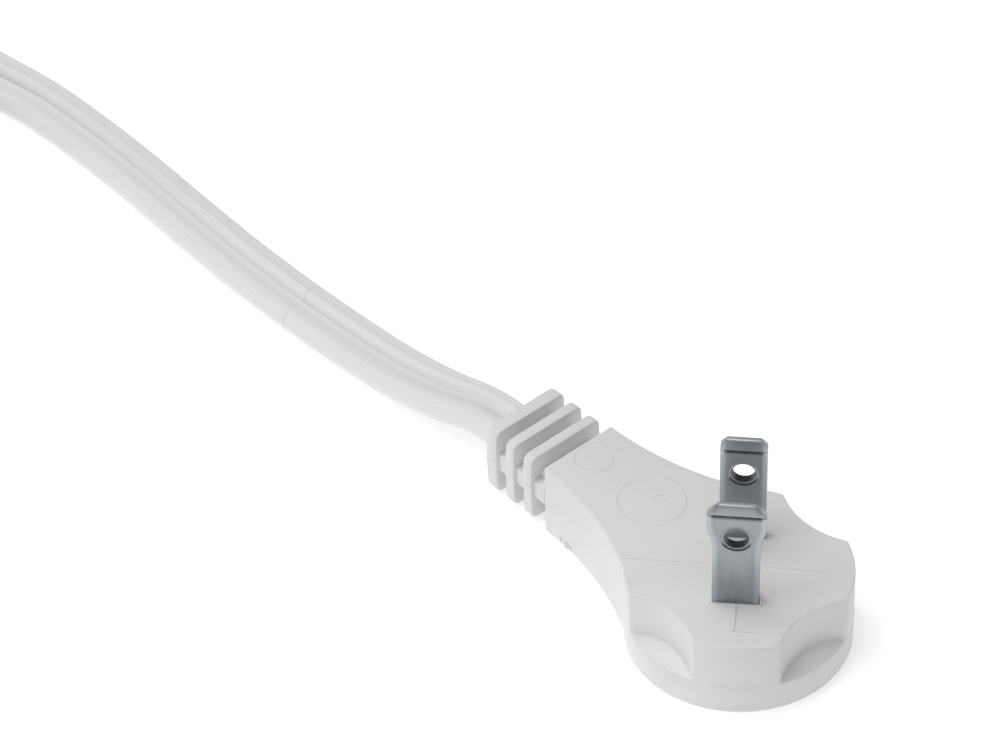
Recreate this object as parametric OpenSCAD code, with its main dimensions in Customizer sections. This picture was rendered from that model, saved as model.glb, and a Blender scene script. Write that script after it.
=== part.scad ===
// Extension cord of flat parallel wire: an angled low-profile plug with a finned strain relief,
// a hank of cord, and a slim three-outlet tap whose outlets have twist-to-close covers.
// The origin is the centre of the plug's flat back, straight below the midpoint between the
// blades. +Z runs along the blades, +X along a blade's width, +Y from the neutral to the line blade.

/* [Plug body] */
// Radius of the round head
head_r = 15.7; // [15:0.1:18]
// Thickness of the head and neck
body_h = 12; // [11:0.1:14]
// Height of the round flange below the finger scallops
flange_h = 4.6; // [3:0.1:6]
// Radius of each finger scallop
scallop_r = 12.6; // [10:0.1:16]
// Distance from the head's centre to the deepest point of a scallop
scallop_reach = 12.75; // [12.5:0.05:14]
// Distance from the head's centre to the end of the neck
neck_end = 32.4; // [30:0.1:36]
// Half the width of the neck at its end
neck_half = 6.3; // [6.2:0.1:7]
// Radius of the flare that joins the neck to the head
flare_r = 47.5; // [45:0.5:50]
// Direction in which the cord leaves the plug, turned from +X
cord_angle = 138; // [130:1:145]

/* [Blades] */
// Width of a blade
blade_w = 6.35; // [6.2:0.05:6.5]
// Width of the neutral blade's flared tip
neutral_tip_w = 7.94; // [7.8:0.02:8.1]
// Thickness of a blade
blade_t = 1.52; // [1.4:0.02:1.6]
// Length of a blade above the face
blade_l = 17.7; // [16:0.1:18.2]
// Distance between the blades' middle planes
blade_gap = 12.7; // [12.6:0.05:12.8]
// Radius of the hole in each blade
blade_hole_r = 1.59; // [1.5:0.01:1.65]
// Height of the blade holes above the face
blade_hole_h = 12; // [11.7:0.1:12.2]

/* [Strain relief] */
// Width of the square fins
fin_w = 13.2; // [12:0.1:14]
// Radius of the fins' corners
fin_corner = 1.2; // [0.5:0.1:2]
// Where each fin starts, counted from the head's centre
fin_starts = [34.9, 38.6, 42.2];
// Thickness of each fin
fin_thick = [1.7, 1.7, 2.1];
// Width of the core between the fins
core_w = 11; // [10:0.1:11.6]
// Height of the core between the fins
core_h = 6; // [5.6:0.1:7]

/* [Cord] */
// Radius of each insulated conductor
wire_r = 2.05; // [1.8:0.05:2.2]
// Distance between neighbouring turns of the hank
turn_pitch = 4.2; // [4.1:0.05:4.6]
// Radius of the tightest fold of the hank
fold_r = 24.6; // [24:0.1:28]
// Middle of the hank, left of the plug
hank_x = -161; // [-175:1:-160]
// Height of the upper folds' centre along Y
hank_top = 84; // [80:1:90]
// Height of the lower folds' centre along Y
hank_bottom = -40; // [-50:1:-30]

/* [Outlet tap] */
// Length of the tap
tap_l = 68; // [66:1:80]
// Width of the tap
tap_w = 28; // [27:0.5:32]
// Height of the tap
tap_h = 22; // [21:0.5:24]
// Height at which the two shells meet
tap_split = 9; // [8:0.5:10]
// Distance between outlets
outlet_pitch = 21.5; // [20.5:0.1:22]
// Radius of a twist cover
cover_r = 9.5; // [9.2:0.1:9.6]
// Thickness of a twist cover
cover_t = 1.9; // [1.6:0.1:2.2]
// Place of the tap's middle along Y
tap_y = 56; // [54:1:60]

/* [Hidden] */
$fn = 64;

eps = 0.5;                     // how far a cutting shape runs past what it cuts
wire_z = body_h / 2;           // height of the conductors inside the plug
relief_out = fin_starts[2] + fin_thick[2];
relief_in = 28.3;              // where the strain relief's anchor starts, inside the neck
collar = [29.4, 1.8, 11.6, 8.4]; // start, length, width and height of the anchor's collar

carrier = [11, 18.4, 4.8];     // size of the block that holds the blades
carrier_z = 4.6;
foot_z = 3.2;                  // lowest edge of a blade, inside the body
strap_t = 1;                   // thickness of the strap from a blade to its crimp
strap_z = foot_z + 0.2;
strap_w = 2.4;
crimp_v = 3.4;                 // distance of a crimp from the plug's middle plane
crimp_u = [10.6, 17.4];        // start and end of a crimp barrel
crimp_r = 1.9;
crimp_end = 1.2;               // thickness of the barrel's closed end
strand_r = 1.3;
lead_r = 1.95;
elbow_r = 2;
// The line lead crosses under the neutral lead: start, two bends over the crossing, flat cord
lead_u = [17.8, 20, 24.6, 27.6];

tie_w = 3;
tie_t = 0.7;
tie_y = 26;
cord_h = 4 * wire_r;           // the flat cord's width, which is its height when it lies on edge

wall = 2;
tap_corner = 7;
cover_gap = 0.3;
cover_bottom = tap_h - cover_t;
plate_top = cover_bottom - 0.1;
plate_t = 1.6;
plate_bottom = plate_top - plate_t;
hub_r = 1.85;
hub_bore_r = 1.9;
hub_head_r = 2.9;
hub_head_h = 1.2;
slot_t = 1.9;
line_slot_w = 7;
neutral_slot_w = 8.5;
relief_wall_r = 5.2;           // the tap relief's groove, which the end wall holds
relief_end = 16;               // length of the tap relief outside the tap
bus_t = 0.8;
leaf_t = 0.6;
leaf_w = 9;
leaf_gap = 1.3;
leaf_top = plate_bottom - 1.5;
boss = [outlet_pitch / 2, 9.8, 2.5]; // place and radius of a screw boss
screw_r = 1.1;
screw_head_r = 2;
screw_head_h = 1.1;
screw_top = 15;
tap_wire_x = -29.5;            // where the tap's leads lose their insulation

white = [0.93, 0.93, 0.92];
brass = [0.78, 0.66, 0.36];
nickel = [0.72, 0.73, 0.74];
copper = [0.78, 0.45, 0.28];
natural = [0.86, 0.84, 0.78];

// The cord from the strain relief to the hank: place of its middle, and how far it is rolled
run_route = [[-32.935, 29.655, 6], [-35.2, 31.7, 6], [-39, 34.9, 5.6], [-45.14, 38.84, 4.5],
    [-51.74, 43.8, 3.5], [-59.22, 50.03, 2.9], [-67.74, 57.03, 2.88], [-77.72, 65.91, 2.88],
    [-87.55, 75.41, 2.9], [-97.28, 85.11, 2.88], [-106.3, 93.46, 2.89], [-114.96, 100.62, 3],
    [-123.22, 105.93, 3.3], [-129.51, 110.02, 3.77], [-135.5, 114.6, 4.05],
    [-141.33, 118.02, 4.11]];
run_roll = [0, 0, -3, -12.9, -18.9, -21.9, -23.4, -23.3, -23.8, -23.3, -23.7, -26.9, -36.9, -55.9, -76, -90];
// The cord from the hank to the tap
tail_route = [[-138.5, -39.98, 4.1], [-138.5, -37.2, 4.15], [-139.3, -32.5, 4.3],
    [-141.4, -27.5, 4.8], [-144.6, -22.5, 5.6], [-148.5, -18.2, 6.4], [-152.9, -13.9, 7.3],
    [-156.9, -9.2, 8.1], [-159.8, -3.6, 8.8], [-161, 2.8, 9], [-161, 5.98, 9]];
tail_roll = [-90, -90, -88, -80, -66, -48, -29, -13, -4, 0, 0];

function unit(v) = v / norm(v);
function along(p, i) = unit(p[min(i + 1, len(p) - 1)] - p[max(i - 1, 0)]);
function across(t) = unit(cross([0, 0, 1], t));
// One ring of the flat cord: two half rounds, one about each conductor
function flat_ring(p, t, roll) =
    let (s0 = across(t), u0 = cross(t, s0),
        s = s0 * cos(roll) + u0 * sin(roll), u = u0 * cos(roll) - s0 * sin(roll))
    [for (k = [0:11])
        let (a = -75 + 30 * (k % 6) + (k < 6 ? 0 : 180))
        p + s * ((k < 6 ? wire_r : -wire_r) + wire_r * cos(a)) + u * wire_r * sin(a)];

module flat_tube(route, roll) {
    n = len(route);
    points = [for (i = [0:n - 1]) each flat_ring(route[i], along(route, i), roll[i])];
    walls = [for (i = [0:n - 2], k = [0:11])
        let (a = 12 * i + k, b = 12 * i + (k + 1) % 12)
        each [[a, b, b + 12], [a, b + 12, a + 12]]];
    first = [[for (k = [11:-1:0]) k]];
    last = [[for (k = [0:11]) 12 * (n - 1) + k]];
    polyhedron(points, concat(walls, first, last), convexity = 6);
}

module rounded(size, r) {
    x = size[0] / 2 - r;
    y = size[1] / 2 - r;
    union() {
        square([size[0], 2 * y], center = true);
        square([2 * x, size[1]], center = true);
        for (i = [-1, 1], j = [-1, 1]) translate([i * x, j * y]) circle(r = r);
    }
}

// A round bar from one point to another
module bar(a, b, r) {
    d = b - a;
    translate(a)
        rotate([0, acos(d[2] / norm(d)), atan2(d[1], d[0])])
            cylinder(r = r, h = norm(d));
}

// Local frame of the plug: its +X runs towards the cord
module plug_frame() { rotate([0, 0, cord_angle]) children(); }

// Local frame of the tap: its +X runs away from the cord
module tap_frame() { translate([hank_x, tap_y, 0]) rotate([0, 0, 90]) children(); }

// ---- Plug ----

flare_turn = 27.5; // the angle through which the flare turns before it meets the head
function flare(side) = [for (t = [0:2.75:flare_turn])
    [neck_end - flare_r * sin(t), side * (neck_half + flare_r * (1 - cos(t)))]];

module neck_outline() {
    right = flare(-1);
    polygon(concat(flare(1), [for (i = [len(right) - 1:-1:0]) right[i]]));
}

module carrier_shape() {
    translate([-carrier[0] / 2, -carrier[1] / 2, carrier_z]) cube(carrier);
}

// Front view of a blade, from its foot to its tip; a wide tip has a flare below it
module blade_outline(tip_w, chamfer) {
    top = body_h + blade_l;
    w = blade_w / 2;
    t = tip_w / 2;
    flare = t > w ? [[w, top - 6.9], [t, top - 4.9]] : [];
    right = concat([[w, foot_z]], flare, [[t, top - chamfer], [t - chamfer, top]]);
    polygon(concat(right, [for (i = [len(right) - 1:-1:0]) [-right[i][0], right[i][1]]]));
}

// Side view of a blade, with its two tip bevels
module blade_profile() {
    top = body_h + blade_l;
    h = blade_t / 2;
    polygon([[-h, foot_z], [h, foot_z], [h, top - 2], [h / 2, top], [-h / 2, top],
        [-h, top - 2]]);
}

module blade_shape(y, tip_w, chamfer) {
    translate([0, y, 0]) difference() {
        intersection() {
            rotate([90, 0, 0]) linear_extrude(4, center = true) blade_outline(tip_w, chamfer);
            rotate([90, 0, 90]) linear_extrude(12, center = true) blade_profile();
        }
        translate([0, 0, body_h + blade_hole_h]) rotate([90, 0, 0])
            cylinder(r = blade_hole_r, h = 4, center = true);
    }
}

// Height of a conductor at the crossing; side is 1 for neutral and -1 for line
function crimp_z(side) = wire_z + side * wire_r;

// The strap below a blade and the crimp barrel at its end
module crimp_shape(side, start) {
    z = crimp_z(side);
    riser_z = min(strap_z, z - 1.2);
    plug_frame() union() {
        translate([start, side * crimp_v - strap_w / 2, strap_z])
            cube([crimp_u[0] + 0.3 - start, strap_w, strap_t]);
        translate([crimp_u[0], side * crimp_v - strap_w / 2, riser_z])
            cube([crimp_end, strap_w, z + 1.2 - riser_z]);
        translate([crimp_u[0] + crimp_end / 2, side * crimp_v, z]) rotate([0, 90, 0])
            cylinder(r = crimp_r, h = crimp_u[1] - crimp_u[0] - crimp_end / 2);
    }
}

module strand_shape(side) {
    start = crimp_u[0] + crimp_end;
    plug_frame() translate([start, side * crimp_v, crimp_z(side)]) rotate([0, 90, 0])
        cylinder(r = strand_r, h = lead_u[0] - start);
}

module lead_shape(side) {
    points = [[lead_u[0], side * crimp_v, crimp_z(side)], [lead_u[1], side * crimp_v, crimp_z(side)],
        [lead_u[2], -side * wire_r, crimp_z(side)], [lead_u[3], -side * wire_r, wire_z],
        [relief_out, -side * wire_r, wire_z]];
    plug_frame() union() {
        for (i = [0:3]) bar(points[i], points[i + 1], lead_r);
        for (i = [1:3]) translate(points[i]) sphere(r = elbow_r);
    }
}

module anchor_shape() {
    translate([relief_in, -core_w / 2, wire_z - core_h / 2])
        cube([relief_out - relief_in, core_w, core_h]);
    translate([collar[0], -collar[2] / 2, wire_z - collar[3] / 2])
        cube([collar[1], collar[2], collar[3]]);
}

module witness_ring(u, r) {
    translate([u, 0, body_h]) difference() {
        cylinder(r = r + 0.18, h = 0.12);
        translate([0, 0, -eps]) cylinder(r = r - 0.18, h = 0.12 + 2 * eps);
    }
}

module plug_body() {
    color(white) union() {
        difference() {
            union() {
                cylinder(r = head_r, h = body_h, $fn = 96);
                plug_frame() linear_extrude(body_h) neck_outline();
            }
            plug_frame() for (a = [90, 180, 270])
                rotate([0, 0, a]) translate([scallop_reach + scallop_r, 0, flange_h])
                    cylinder(r = scallop_r, h = body_h, $fn = 96);
            carrier_shape();
            for (y = [-1, 1])
                translate([-blade_w / 2, y * blade_gap / 2 - blade_t / 2, foot_z])
                    cube([blade_w, blade_t, body_h]);
            crimp_shape(1, -5.4);
            crimp_shape(-1, 4.6);
            strand_shape(1);
            strand_shape(-1);
            lead_shape(1);
            lead_shape(-1);
            plug_frame() anchor_shape();
        }
        plug_frame() witness_ring(29.3, 2.7);
        plug_frame() witness_ring(17.5, 4.75);
    }
}

module blade_carrier() {
    color(natural) difference() {
        carrier_shape();
        for (y = [-1, 1])
            translate([-blade_w / 2, y * blade_gap / 2 - blade_t / 2, foot_z])
                cube([blade_w, blade_t, body_h]);
    }
}

module crimped_blade(side, tip_w, chamfer, start) {
    color(nickel) difference() {
        union() {
            blade_shape(-side * blade_gap / 2, tip_w, chamfer);
            crimp_shape(side, start);
        }
        strand_shape(side);
    }
}

module neutral_blade() { crimped_blade(1, neutral_tip_w, 1.5, -5.4); }
module line_blade() { crimped_blade(-1, blade_w, 0.95, 4.6); }
module plug_neutral_lead() { color(white) lead_shape(1); }
module plug_line_lead() { color(white) lead_shape(-1); }
module plug_neutral_strands() { color(copper) strand_shape(1); }
module plug_line_strands() { color(copper) strand_shape(-1); }

module strain_relief() {
    color(white) difference() {
        plug_frame() union() {
            anchor_shape();
            for (i = [0:2])
                translate([fin_starts[i], 0, body_h / 2]) rotate([0, 90, 0])
                    linear_extrude(fin_thick[i]) rounded([body_h, fin_w], fin_corner);
        }
        plug_frame() for (s = [-1, 1])
            bar([relief_in - eps, s * wire_r, wire_z], [relief_out + eps, s * wire_r, wire_z], lead_r);
    }
}

// ---- Cord ----

module cord_run() { color(white) flat_tube(run_route, run_roll); }
module cord_tail() { color(white) flat_tube(tail_route, tail_roll); }

// Radius of the hank's turns: upper folds count from the outside, and so do lower folds
upper_r = [for (k = [3:-1:0]) fold_r + turn_pitch * (k + 0.5)];
lower_r = [for (k = [3:-1:0]) fold_r + turn_pitch * k];
lower_x = hank_x - turn_pitch / 2;
function arc(c, r, a, b) = [for (i = [0:24]) c + r * [cos(a + (b - a) * i / 24), sin(a + (b - a) * i / 24)]];

module hank_outer() {
    top = [hank_x, hank_top];
    polygon(concat(
        arc(top, upper_r[0] + wire_r, 60, 180),
        arc([lower_x, hank_bottom], lower_r[0] + wire_r, 180, 360),
        arc(top, upper_r[1] + wire_r, 0, 60)));
}

module hank_inner() {
    polygon(concat(
        arc([hank_x, hank_top], upper_r[3] - wire_r, 0, 180),
        arc([lower_x, hank_bottom], lower_r[3] - wire_r, 180, 360),
        [[hank_x + upper_r[3] - wire_r, hank_bottom]]));
}

// Reach of the bundle of turns on each side: near edge and far edge
west = [hank_x - upper_r[0] - wire_r, hank_x - upper_r[3] + wire_r];
east = [hank_x + upper_r[3] - wire_r, hank_x + upper_r[1] + wire_r];

module cord_hank() {
    color(white) difference() {
        linear_extrude(cord_h) difference() {
            hank_outer();
            hank_inner();
        }
        for (side = [west, east])
            translate([side[0] - eps, tie_y - tie_w / 2, -eps])
                cube([side[1] - side[0] + 2 * eps, tie_w, tie_t + eps]);
    }
}

module tie_shape(side) {
    difference() {
        translate([side[0] - tie_t, tie_y - tie_w / 2, 0])
            cube([side[1] - side[0] + 2 * tie_t, tie_w, cord_h + tie_t]);
        translate([side[0], tie_y - tie_w, tie_t])
            cube([side[1] - side[0], 2 * tie_w, cord_h - tie_t]);
    }
    translate([(side[0] + side[1]) / 2, tie_y, cord_h + tie_t + 0.9])
        rotate([-90, 0, 0]) cylinder(r = 1, h = 13);
}

module cord_tie_west() { color(white) tie_shape(west); }
module cord_tie_east() { color(white) tie_shape(east); }

// ---- Outlet tap ----

module each_outlet() {
    for (i = [-1:1]) translate([i * outlet_pitch, 0, 0]) children();
}

module slots(z, h) {
    translate([-neutral_slot_w / 2, -blade_gap / 2 - slot_t / 2, z])
        cube([neutral_slot_w, slot_t, h]);
    translate([-line_slot_w / 2, blade_gap / 2 - slot_t / 2, z])
        cube([line_slot_w, slot_t, h]);
}

module relief_groove() {
    translate([-tap_l / 2 - eps, 0, tap_split]) rotate([0, 90, 0])
        cylinder(r = relief_wall_r, h = wall + 2 * eps);
}

module each_boss() {
    for (s = [-1, 1]) translate([s * boss[0], s * boss[1], 0]) children();
}

module tap_base() {
    color(white) tap_frame() difference() {
        union() {
            difference() {
                linear_extrude(tap_split) rounded([tap_l, tap_w], tap_corner);
                translate([0, 0, wall]) linear_extrude(tap_split)
                    rounded([tap_l - 2 * wall, tap_w - 2 * wall], tap_corner - wall);
            }
            each_boss() translate([0, 0, wall / 2]) cylinder(r = boss[2], h = tap_split - wall / 2);
        }
        relief_groove();
        each_boss() translate([0, 0, -eps]) cylinder(r = screw_r + 0.15, h = tap_split + 2 * eps);
        each_boss() translate([0, 0, -eps])
            cylinder(r = screw_head_r + 0.2, h = eps + screw_head_h + 0.1);
    }
}

module tap_top() {
    inner_h = plate_bottom - tap_split;
    color(white) tap_frame() difference() {
        union() {
            difference() {
                translate([0, 0, tap_split]) linear_extrude(tap_h - tap_split)
                    rounded([tap_l, tap_w], tap_corner);
                translate([0, 0, tap_split - eps]) linear_extrude(inner_h + eps)
                    rounded([tap_l - 2 * wall, tap_w - 2 * wall], tap_corner - wall);
            }
            each_boss() translate([0, 0, tap_split]) cylinder(r = boss[2], h = inner_h + wall / 2);
        }
        relief_groove();
        each_boss() translate([0, 0, tap_split - eps])
            cylinder(r = screw_r, h = screw_top - tap_split + eps);
        each_outlet() {
            translate([0, 0, plate_top]) cylinder(r = cover_r + cover_gap, h = tap_h);
            translate([0, 0, plate_bottom - eps]) cylinder(r = hub_bore_r, h = plate_t + 2 * eps);
            slots(plate_bottom - eps, plate_t + 2 * eps);
        }
    }
}

module outlet_cover(i) {
    color(white) tap_frame() translate([i * outlet_pitch, 0, 0]) {
        difference() {
            translate([0, 0, cover_bottom]) cylinder(r = cover_r, h = cover_t);
            slots(cover_bottom - eps, cover_t + 2 * eps);
        }
        translate([0, 0, plate_bottom - 0.1 - hub_head_h / 2])
            cylinder(r = hub_r, h = plate_t + 0.2 + hub_head_h);
        translate([0, 0, plate_bottom - 0.1 - hub_head_h]) cylinder(r = hub_head_r, h = hub_head_h);
    }
}

module outlet_cover_1() { outlet_cover(-1); }
module outlet_cover_2() { outlet_cover(0); }
module outlet_cover_3() { outlet_cover(1); }

// A contact strip with a pair of leaves under each outlet; side is -1 for neutral and 1 for line
module bus(side) {
    color(brass) tap_frame() union() {
        translate([-30.5, side * 5.85 - 1.25, wall]) cube([57, 2.5, bus_t]);
        each_outlet() {
            translate([-leaf_w / 2, side * blade_gap / 2 - 1.7, wall]) cube([leaf_w, 3.4, bus_t]);
            for (s = [-1, 1]) {
                leaf_y = side * blade_gap / 2 + s * (leaf_gap + leaf_t) / 2;
                translate([-leaf_w / 2, leaf_y - leaf_t / 2, wall])
                    cube([leaf_w, leaf_t, leaf_top - wall]);
            }
        }
    }
}

module neutral_bus() { bus(-1); }
module line_bus() { bus(1); }

module tap_lead(side) {
    color(white) tap_frame()
        bar([-tap_l / 2 - relief_end, side * wire_r, tap_split],
            [tap_wire_x, side * wire_r, tap_split], lead_r);
}

module tap_neutral_lead() { tap_lead(-1); }
module tap_line_lead() { tap_lead(1); }

module tap_strands(side) {
    start = [tap_wire_x, side * wire_r, tap_split];
    turn = [tap_wire_x + 1.3, side * wire_r, tap_split];
    low = [tap_wire_x + 1.5, side * 5.6, wall + bus_t + strand_r + 0.05];
    color(copper) tap_frame() union() {
        bar(start, turn, strand_r);
        translate(turn) sphere(r = strand_r + 0.05);
        bar(turn, low, strand_r);
        translate(low) sphere(r = strand_r + 0.05);
    }
}

module tap_neutral_strands() { tap_strands(-1); }
module tap_line_strands() { tap_strands(1); }

module tap_strain_relief() {
    out = tap_l / 2;
    color(white) tap_frame() difference() {
        translate([0, 0, tap_split]) rotate([0, -90, 0]) union() {
            translate([0, 0, out + 0.05]) cylinder(r1 = 6.6, r2 = 5.2, h = relief_end - 0.05);
            translate([0, 0, out - wall - eps])
                cylinder(r = relief_wall_r - 0.02, h = wall + 2 * eps);
            translate([0, 0, out - wall - 1.6]) cylinder(r = 6.4, h = 1.55);
        }
        for (side = [-1, 1])
            bar([-out - relief_end - 1, side * wire_r, tap_split],
                [-out + wall + 3, side * wire_r, tap_split], lead_r);
        for (i = [0:3])
            translate([-out - 3.2 - 3.1 * i, 0, tap_split]) rotate([0, -90, 0]) difference() {
                cylinder(r = 8, h = 1.3);
                translate([0, 0, -eps]) cylinder(r = 4.9, h = 1.3 + 2 * eps);
            }
    }
}

module tap_screws() {
    color(nickel) tap_frame() each_boss() {
        translate([0, 0, screw_head_h]) cylinder(r = screw_r, h = screw_top - screw_head_h);
        difference() {
            translate([0, 0, 0.1]) cylinder(r = screw_head_r, h = screw_head_h);
            translate([-0.25, -1.4, -eps]) cube([0.5, 2.8, eps + 0.6]);
            translate([-1.4, -0.25, -eps]) cube([2.8, 0.5, eps + 0.6]);
        }
    }
}

plug_body();
blade_carrier();
neutral_blade();
line_blade();
plug_neutral_lead();
plug_line_lead();
plug_neutral_strands();
plug_line_strands();
strain_relief();
cord_run();
cord_hank();
cord_tail();
cord_tie_west();
cord_tie_east();
tap_base();
tap_top();
outlet_cover_1();
outlet_cover_2();
outlet_cover_3();
neutral_bus();
line_bus();
tap_neutral_lead();
tap_line_lead();
tap_neutral_strands();
tap_line_strands();
tap_strain_relief();
tap_screws();
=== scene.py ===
"""Looks of a flat two-conductor extension cord: plug, cord, tied hank and outlet tap.

Lengths in this file are millimetres in the shared frame unless a name says otherwise. Meshes are
written in metres.
"""

from __future__ import annotations

import logging
import math
from collections.abc import Iterator, Sequence
from contextlib import contextmanager
from dataclasses import dataclass, field
from enum import Enum
from functools import cache

import bmesh
import bpy
from mathutils import Matrix, Vector


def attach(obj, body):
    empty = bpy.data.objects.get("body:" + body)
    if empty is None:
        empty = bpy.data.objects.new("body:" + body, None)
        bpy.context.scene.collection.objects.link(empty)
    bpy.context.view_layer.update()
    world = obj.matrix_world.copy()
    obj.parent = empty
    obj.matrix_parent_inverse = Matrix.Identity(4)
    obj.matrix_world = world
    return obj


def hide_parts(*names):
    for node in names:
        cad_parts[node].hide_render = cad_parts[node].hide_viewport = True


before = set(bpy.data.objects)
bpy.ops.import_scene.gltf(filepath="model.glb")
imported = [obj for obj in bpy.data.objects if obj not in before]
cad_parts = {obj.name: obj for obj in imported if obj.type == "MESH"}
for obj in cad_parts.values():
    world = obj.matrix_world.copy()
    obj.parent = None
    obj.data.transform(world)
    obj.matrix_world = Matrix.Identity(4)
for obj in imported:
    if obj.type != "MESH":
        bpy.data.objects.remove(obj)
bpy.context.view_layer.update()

MM = 0.001
log = logging.getLogger("extension_cord")

Point = tuple[float, float, float]
Flat = tuple[float, float]
ROOT_BODY = "cord_set"
WHITE: Point = (1.0, 1.0, 1.0)

# Where the two ends lie: turns about +Z in degrees, and the middle of the tap.
PLUG_TURN = 138.0
TAP_TURN = 90.0
TAP_MIDDLE: Point = (-161.0, 56.0, 0.0)

# Both blades: half their width, how far under the tip the wide one starts and stops flaring, how
# far under it the hole's middle is, and how far down the tip's bevel reaches.
BLADE_HALF = 3.175
FLARE_STARTS = 7.1
HOLE_DROP = 5.7
TIP_BEVEL = 1.55


class Side(Enum):
    """The two conductors of the cord, and the side of the plug that each comes out on."""

    NEUTRAL = 1
    LINE = -1


class Way(Enum):
    """Local frames: the plug's +X points to the cord, and the tap's +X away from it."""

    WORLD = "world"
    PLUG = "plug"
    TAP = "tap"

    def matrix(self) -> Matrix:
        """Returns: the frame's matrix, with its place in millimetres."""
        if self is Way.PLUG:
            return Matrix.Rotation(math.radians(PLUG_TURN), 4, "Z")
        if self is Way.TAP:
            turn = Matrix.Rotation(math.radians(TAP_TURN), 4, "Z")
            return Matrix.Translation(TAP_MIDDLE) @ turn
        return Matrix.Identity(4)


# ---- Meshes ----


def new_object(name: str, data: bpy.types.ID) -> bpy.types.Object:
    """Returns: a new object with that data, in the scene."""
    made = bpy.data.objects.new(name, data)
    bpy.context.scene.collection.objects.link(made)
    return made


@contextmanager
def editing(piece: bpy.types.Object) -> Iterator[bmesh.types.BMesh]:
    """Opens a piece's mesh for changes and writes it back.

    Args:
        piece: the piece.

    Yields:
        The mesh to change.
    """
    mesh = bmesh.new()
    mesh.from_mesh(piece.data)
    yield mesh
    mesh.to_mesh(piece.data)
    mesh.free()


def bar_faces(rings: int, sides: int, closed: bool = False) -> list[tuple[int, ...]]:
    """Returns the faces of a bar whose points come ring by ring.

    Args:
        rings: how many rings it has.
        sides: how many points each ring has.
        closed: whether the last ring joins the first; otherwise both ends get a face.
    """
    faces: list[tuple[int, ...]] = []
    for i in range(rings if closed else rings - 1):
        a, b = sides * i, sides * ((i + 1) % rings)
        faces += [(a + k, b + k, b + (k + 1) % sides, a + (k + 1) % sides) for k in range(sides)]
    if not closed:
        last = sides * (rings - 1)
        faces += [tuple(range(sides)), tuple(last + k for k in reversed(range(sides)))]
    return faces


@dataclass
class Shape:
    """Vertices and faces of one piece, gathered in millimetres."""

    way: Way = Way.WORLD
    points: list[Point] = field(default_factory=list)
    faces: list[tuple[int, ...]] = field(default_factory=list)

    def add(self, points: Sequence[Point], faces: Sequence[Sequence[int]]) -> None:
        """Adds a closed part.

        Args:
            points: its vertices in this shape's frame.
            faces: its faces, as indices into those vertices.
        """
        base = len(self.points)
        self.points += [tuple(p) for p in points]
        self.faces += [tuple(base + i for i in f) for f in faces]

    def prism(self, outline: Sequence[Flat], low: float, high: float) -> None:
        """Adds a straight prism over a counter-clockwise outline.

        Args:
            outline: the outline's points.
            low: height of its lower face.
            high: height of its upper face.
        """
        n = len(outline)
        points = [(x, y, z) for z in (low, high) for x, y in outline]
        walls = [(i, (i + 1) % n, n + (i + 1) % n, n + i) for i in range(n)]
        self.add(points, [tuple(range(n))[::-1], tuple(range(n, 2 * n)), *walls])

    def box(self, low: Point, high: Point) -> None:
        """Adds a box between two corners."""
        outline = [(low[0], low[1]), (high[0], low[1]), (high[0], high[1]), (low[0], high[1])]
        self.prism(outline, low[2], high[2])

    def tube(
        self, route: Sequence[Point], radius: float, bore: float = 0.0, sides: int = 24
    ) -> None:
        """Adds a round bar or pipe along a route.

        Args:
            route: the points that its middle follows.
            radius: its outer radius.
            bore: its inner radius, or 0 for a solid bar.
            sides: how many sides its section has.
        """
        line = [Vector(p) for p in route]
        rings: list[Point] = []
        side = None
        for i, p in enumerate(line):
            ahead = (line[min(i + 1, len(line) - 1)] - line[max(i - 1, 0)]).normalized()
            if side is None:
                side = ahead.orthogonal().normalized()
            side = (side - ahead * side.dot(ahead)).normalized()
            up = ahead.cross(side)
            for r in (radius, bore) if bore else (radius,):
                for k in range(sides):
                    a = 2 * math.pi * k / sides
                    rings.append(tuple(p + side * r * math.cos(a) + up * r * math.sin(a)))
        layers = 2 if bore else 1
        step, n = layers * sides, len(line)
        faces: list[tuple[int, ...]] = []
        for layer in range(layers):
            for i in range(n - 1):
                for k in range(sides):
                    a, b = i * step + layer * sides + k, i * step + layer * sides + (k + 1) % sides
                    quad = (a, b, b + step, a + step)
                    faces.append(quad if layer == 0 else quad[::-1])
        last = (n - 1) * step
        if bore:
            for k in range(sides):
                j = (k + 1) % sides
                faces.append((k, sides + k, sides + j, j))
                faces.append((last + k, last + j, last + sides + j, last + sides + k))
        else:
            faces.append(tuple(range(sides))[::-1])
            faces.append(tuple(last + k for k in range(sides)))
        self.add(rings, faces)

    def make(self, name: str) -> bpy.types.Object:
        """Makes the object.

        Args:
            name: the piece's name.

        Returns:
            The object, at the origin, with its place in its mesh.
        """
        turn = self.way.matrix()
        mesh = bpy.data.meshes.new(name)
        mesh.from_pydata([tuple((turn @ Vector(p)) * MM) for p in self.points], [], self.faces)
        mesh.update()
        return new_object(name, mesh)


def arc(centre: Flat, radius: float, start: float, end: float, steps: int) -> list[Flat]:
    """Returns points of a circular arc.

    Args:
        centre: the arc's centre.
        radius: its radius.
        start: its first angle, in degrees.
        end: its last angle, in degrees.
        steps: how many segments it has.
    """
    angles = [math.radians(start + (end - start) * i / steps) for i in range(steps + 1)]
    return [(centre[0] + radius * math.cos(a), centre[1] + radius * math.sin(a)) for a in angles]


def smooth(piece: bpy.types.Object, angle: float = 30.0) -> bpy.types.Object:
    """Shades a piece smooth, with edges over an angle kept sharp.

    Args:
        piece: the piece.
        angle: the sharpest edge that is still smoothed, in degrees.

    Returns:
        The piece.
    """
    piece.data.shade_smooth()
    piece.data.set_sharp_from_angle(angle=math.radians(angle))
    return piece


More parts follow.
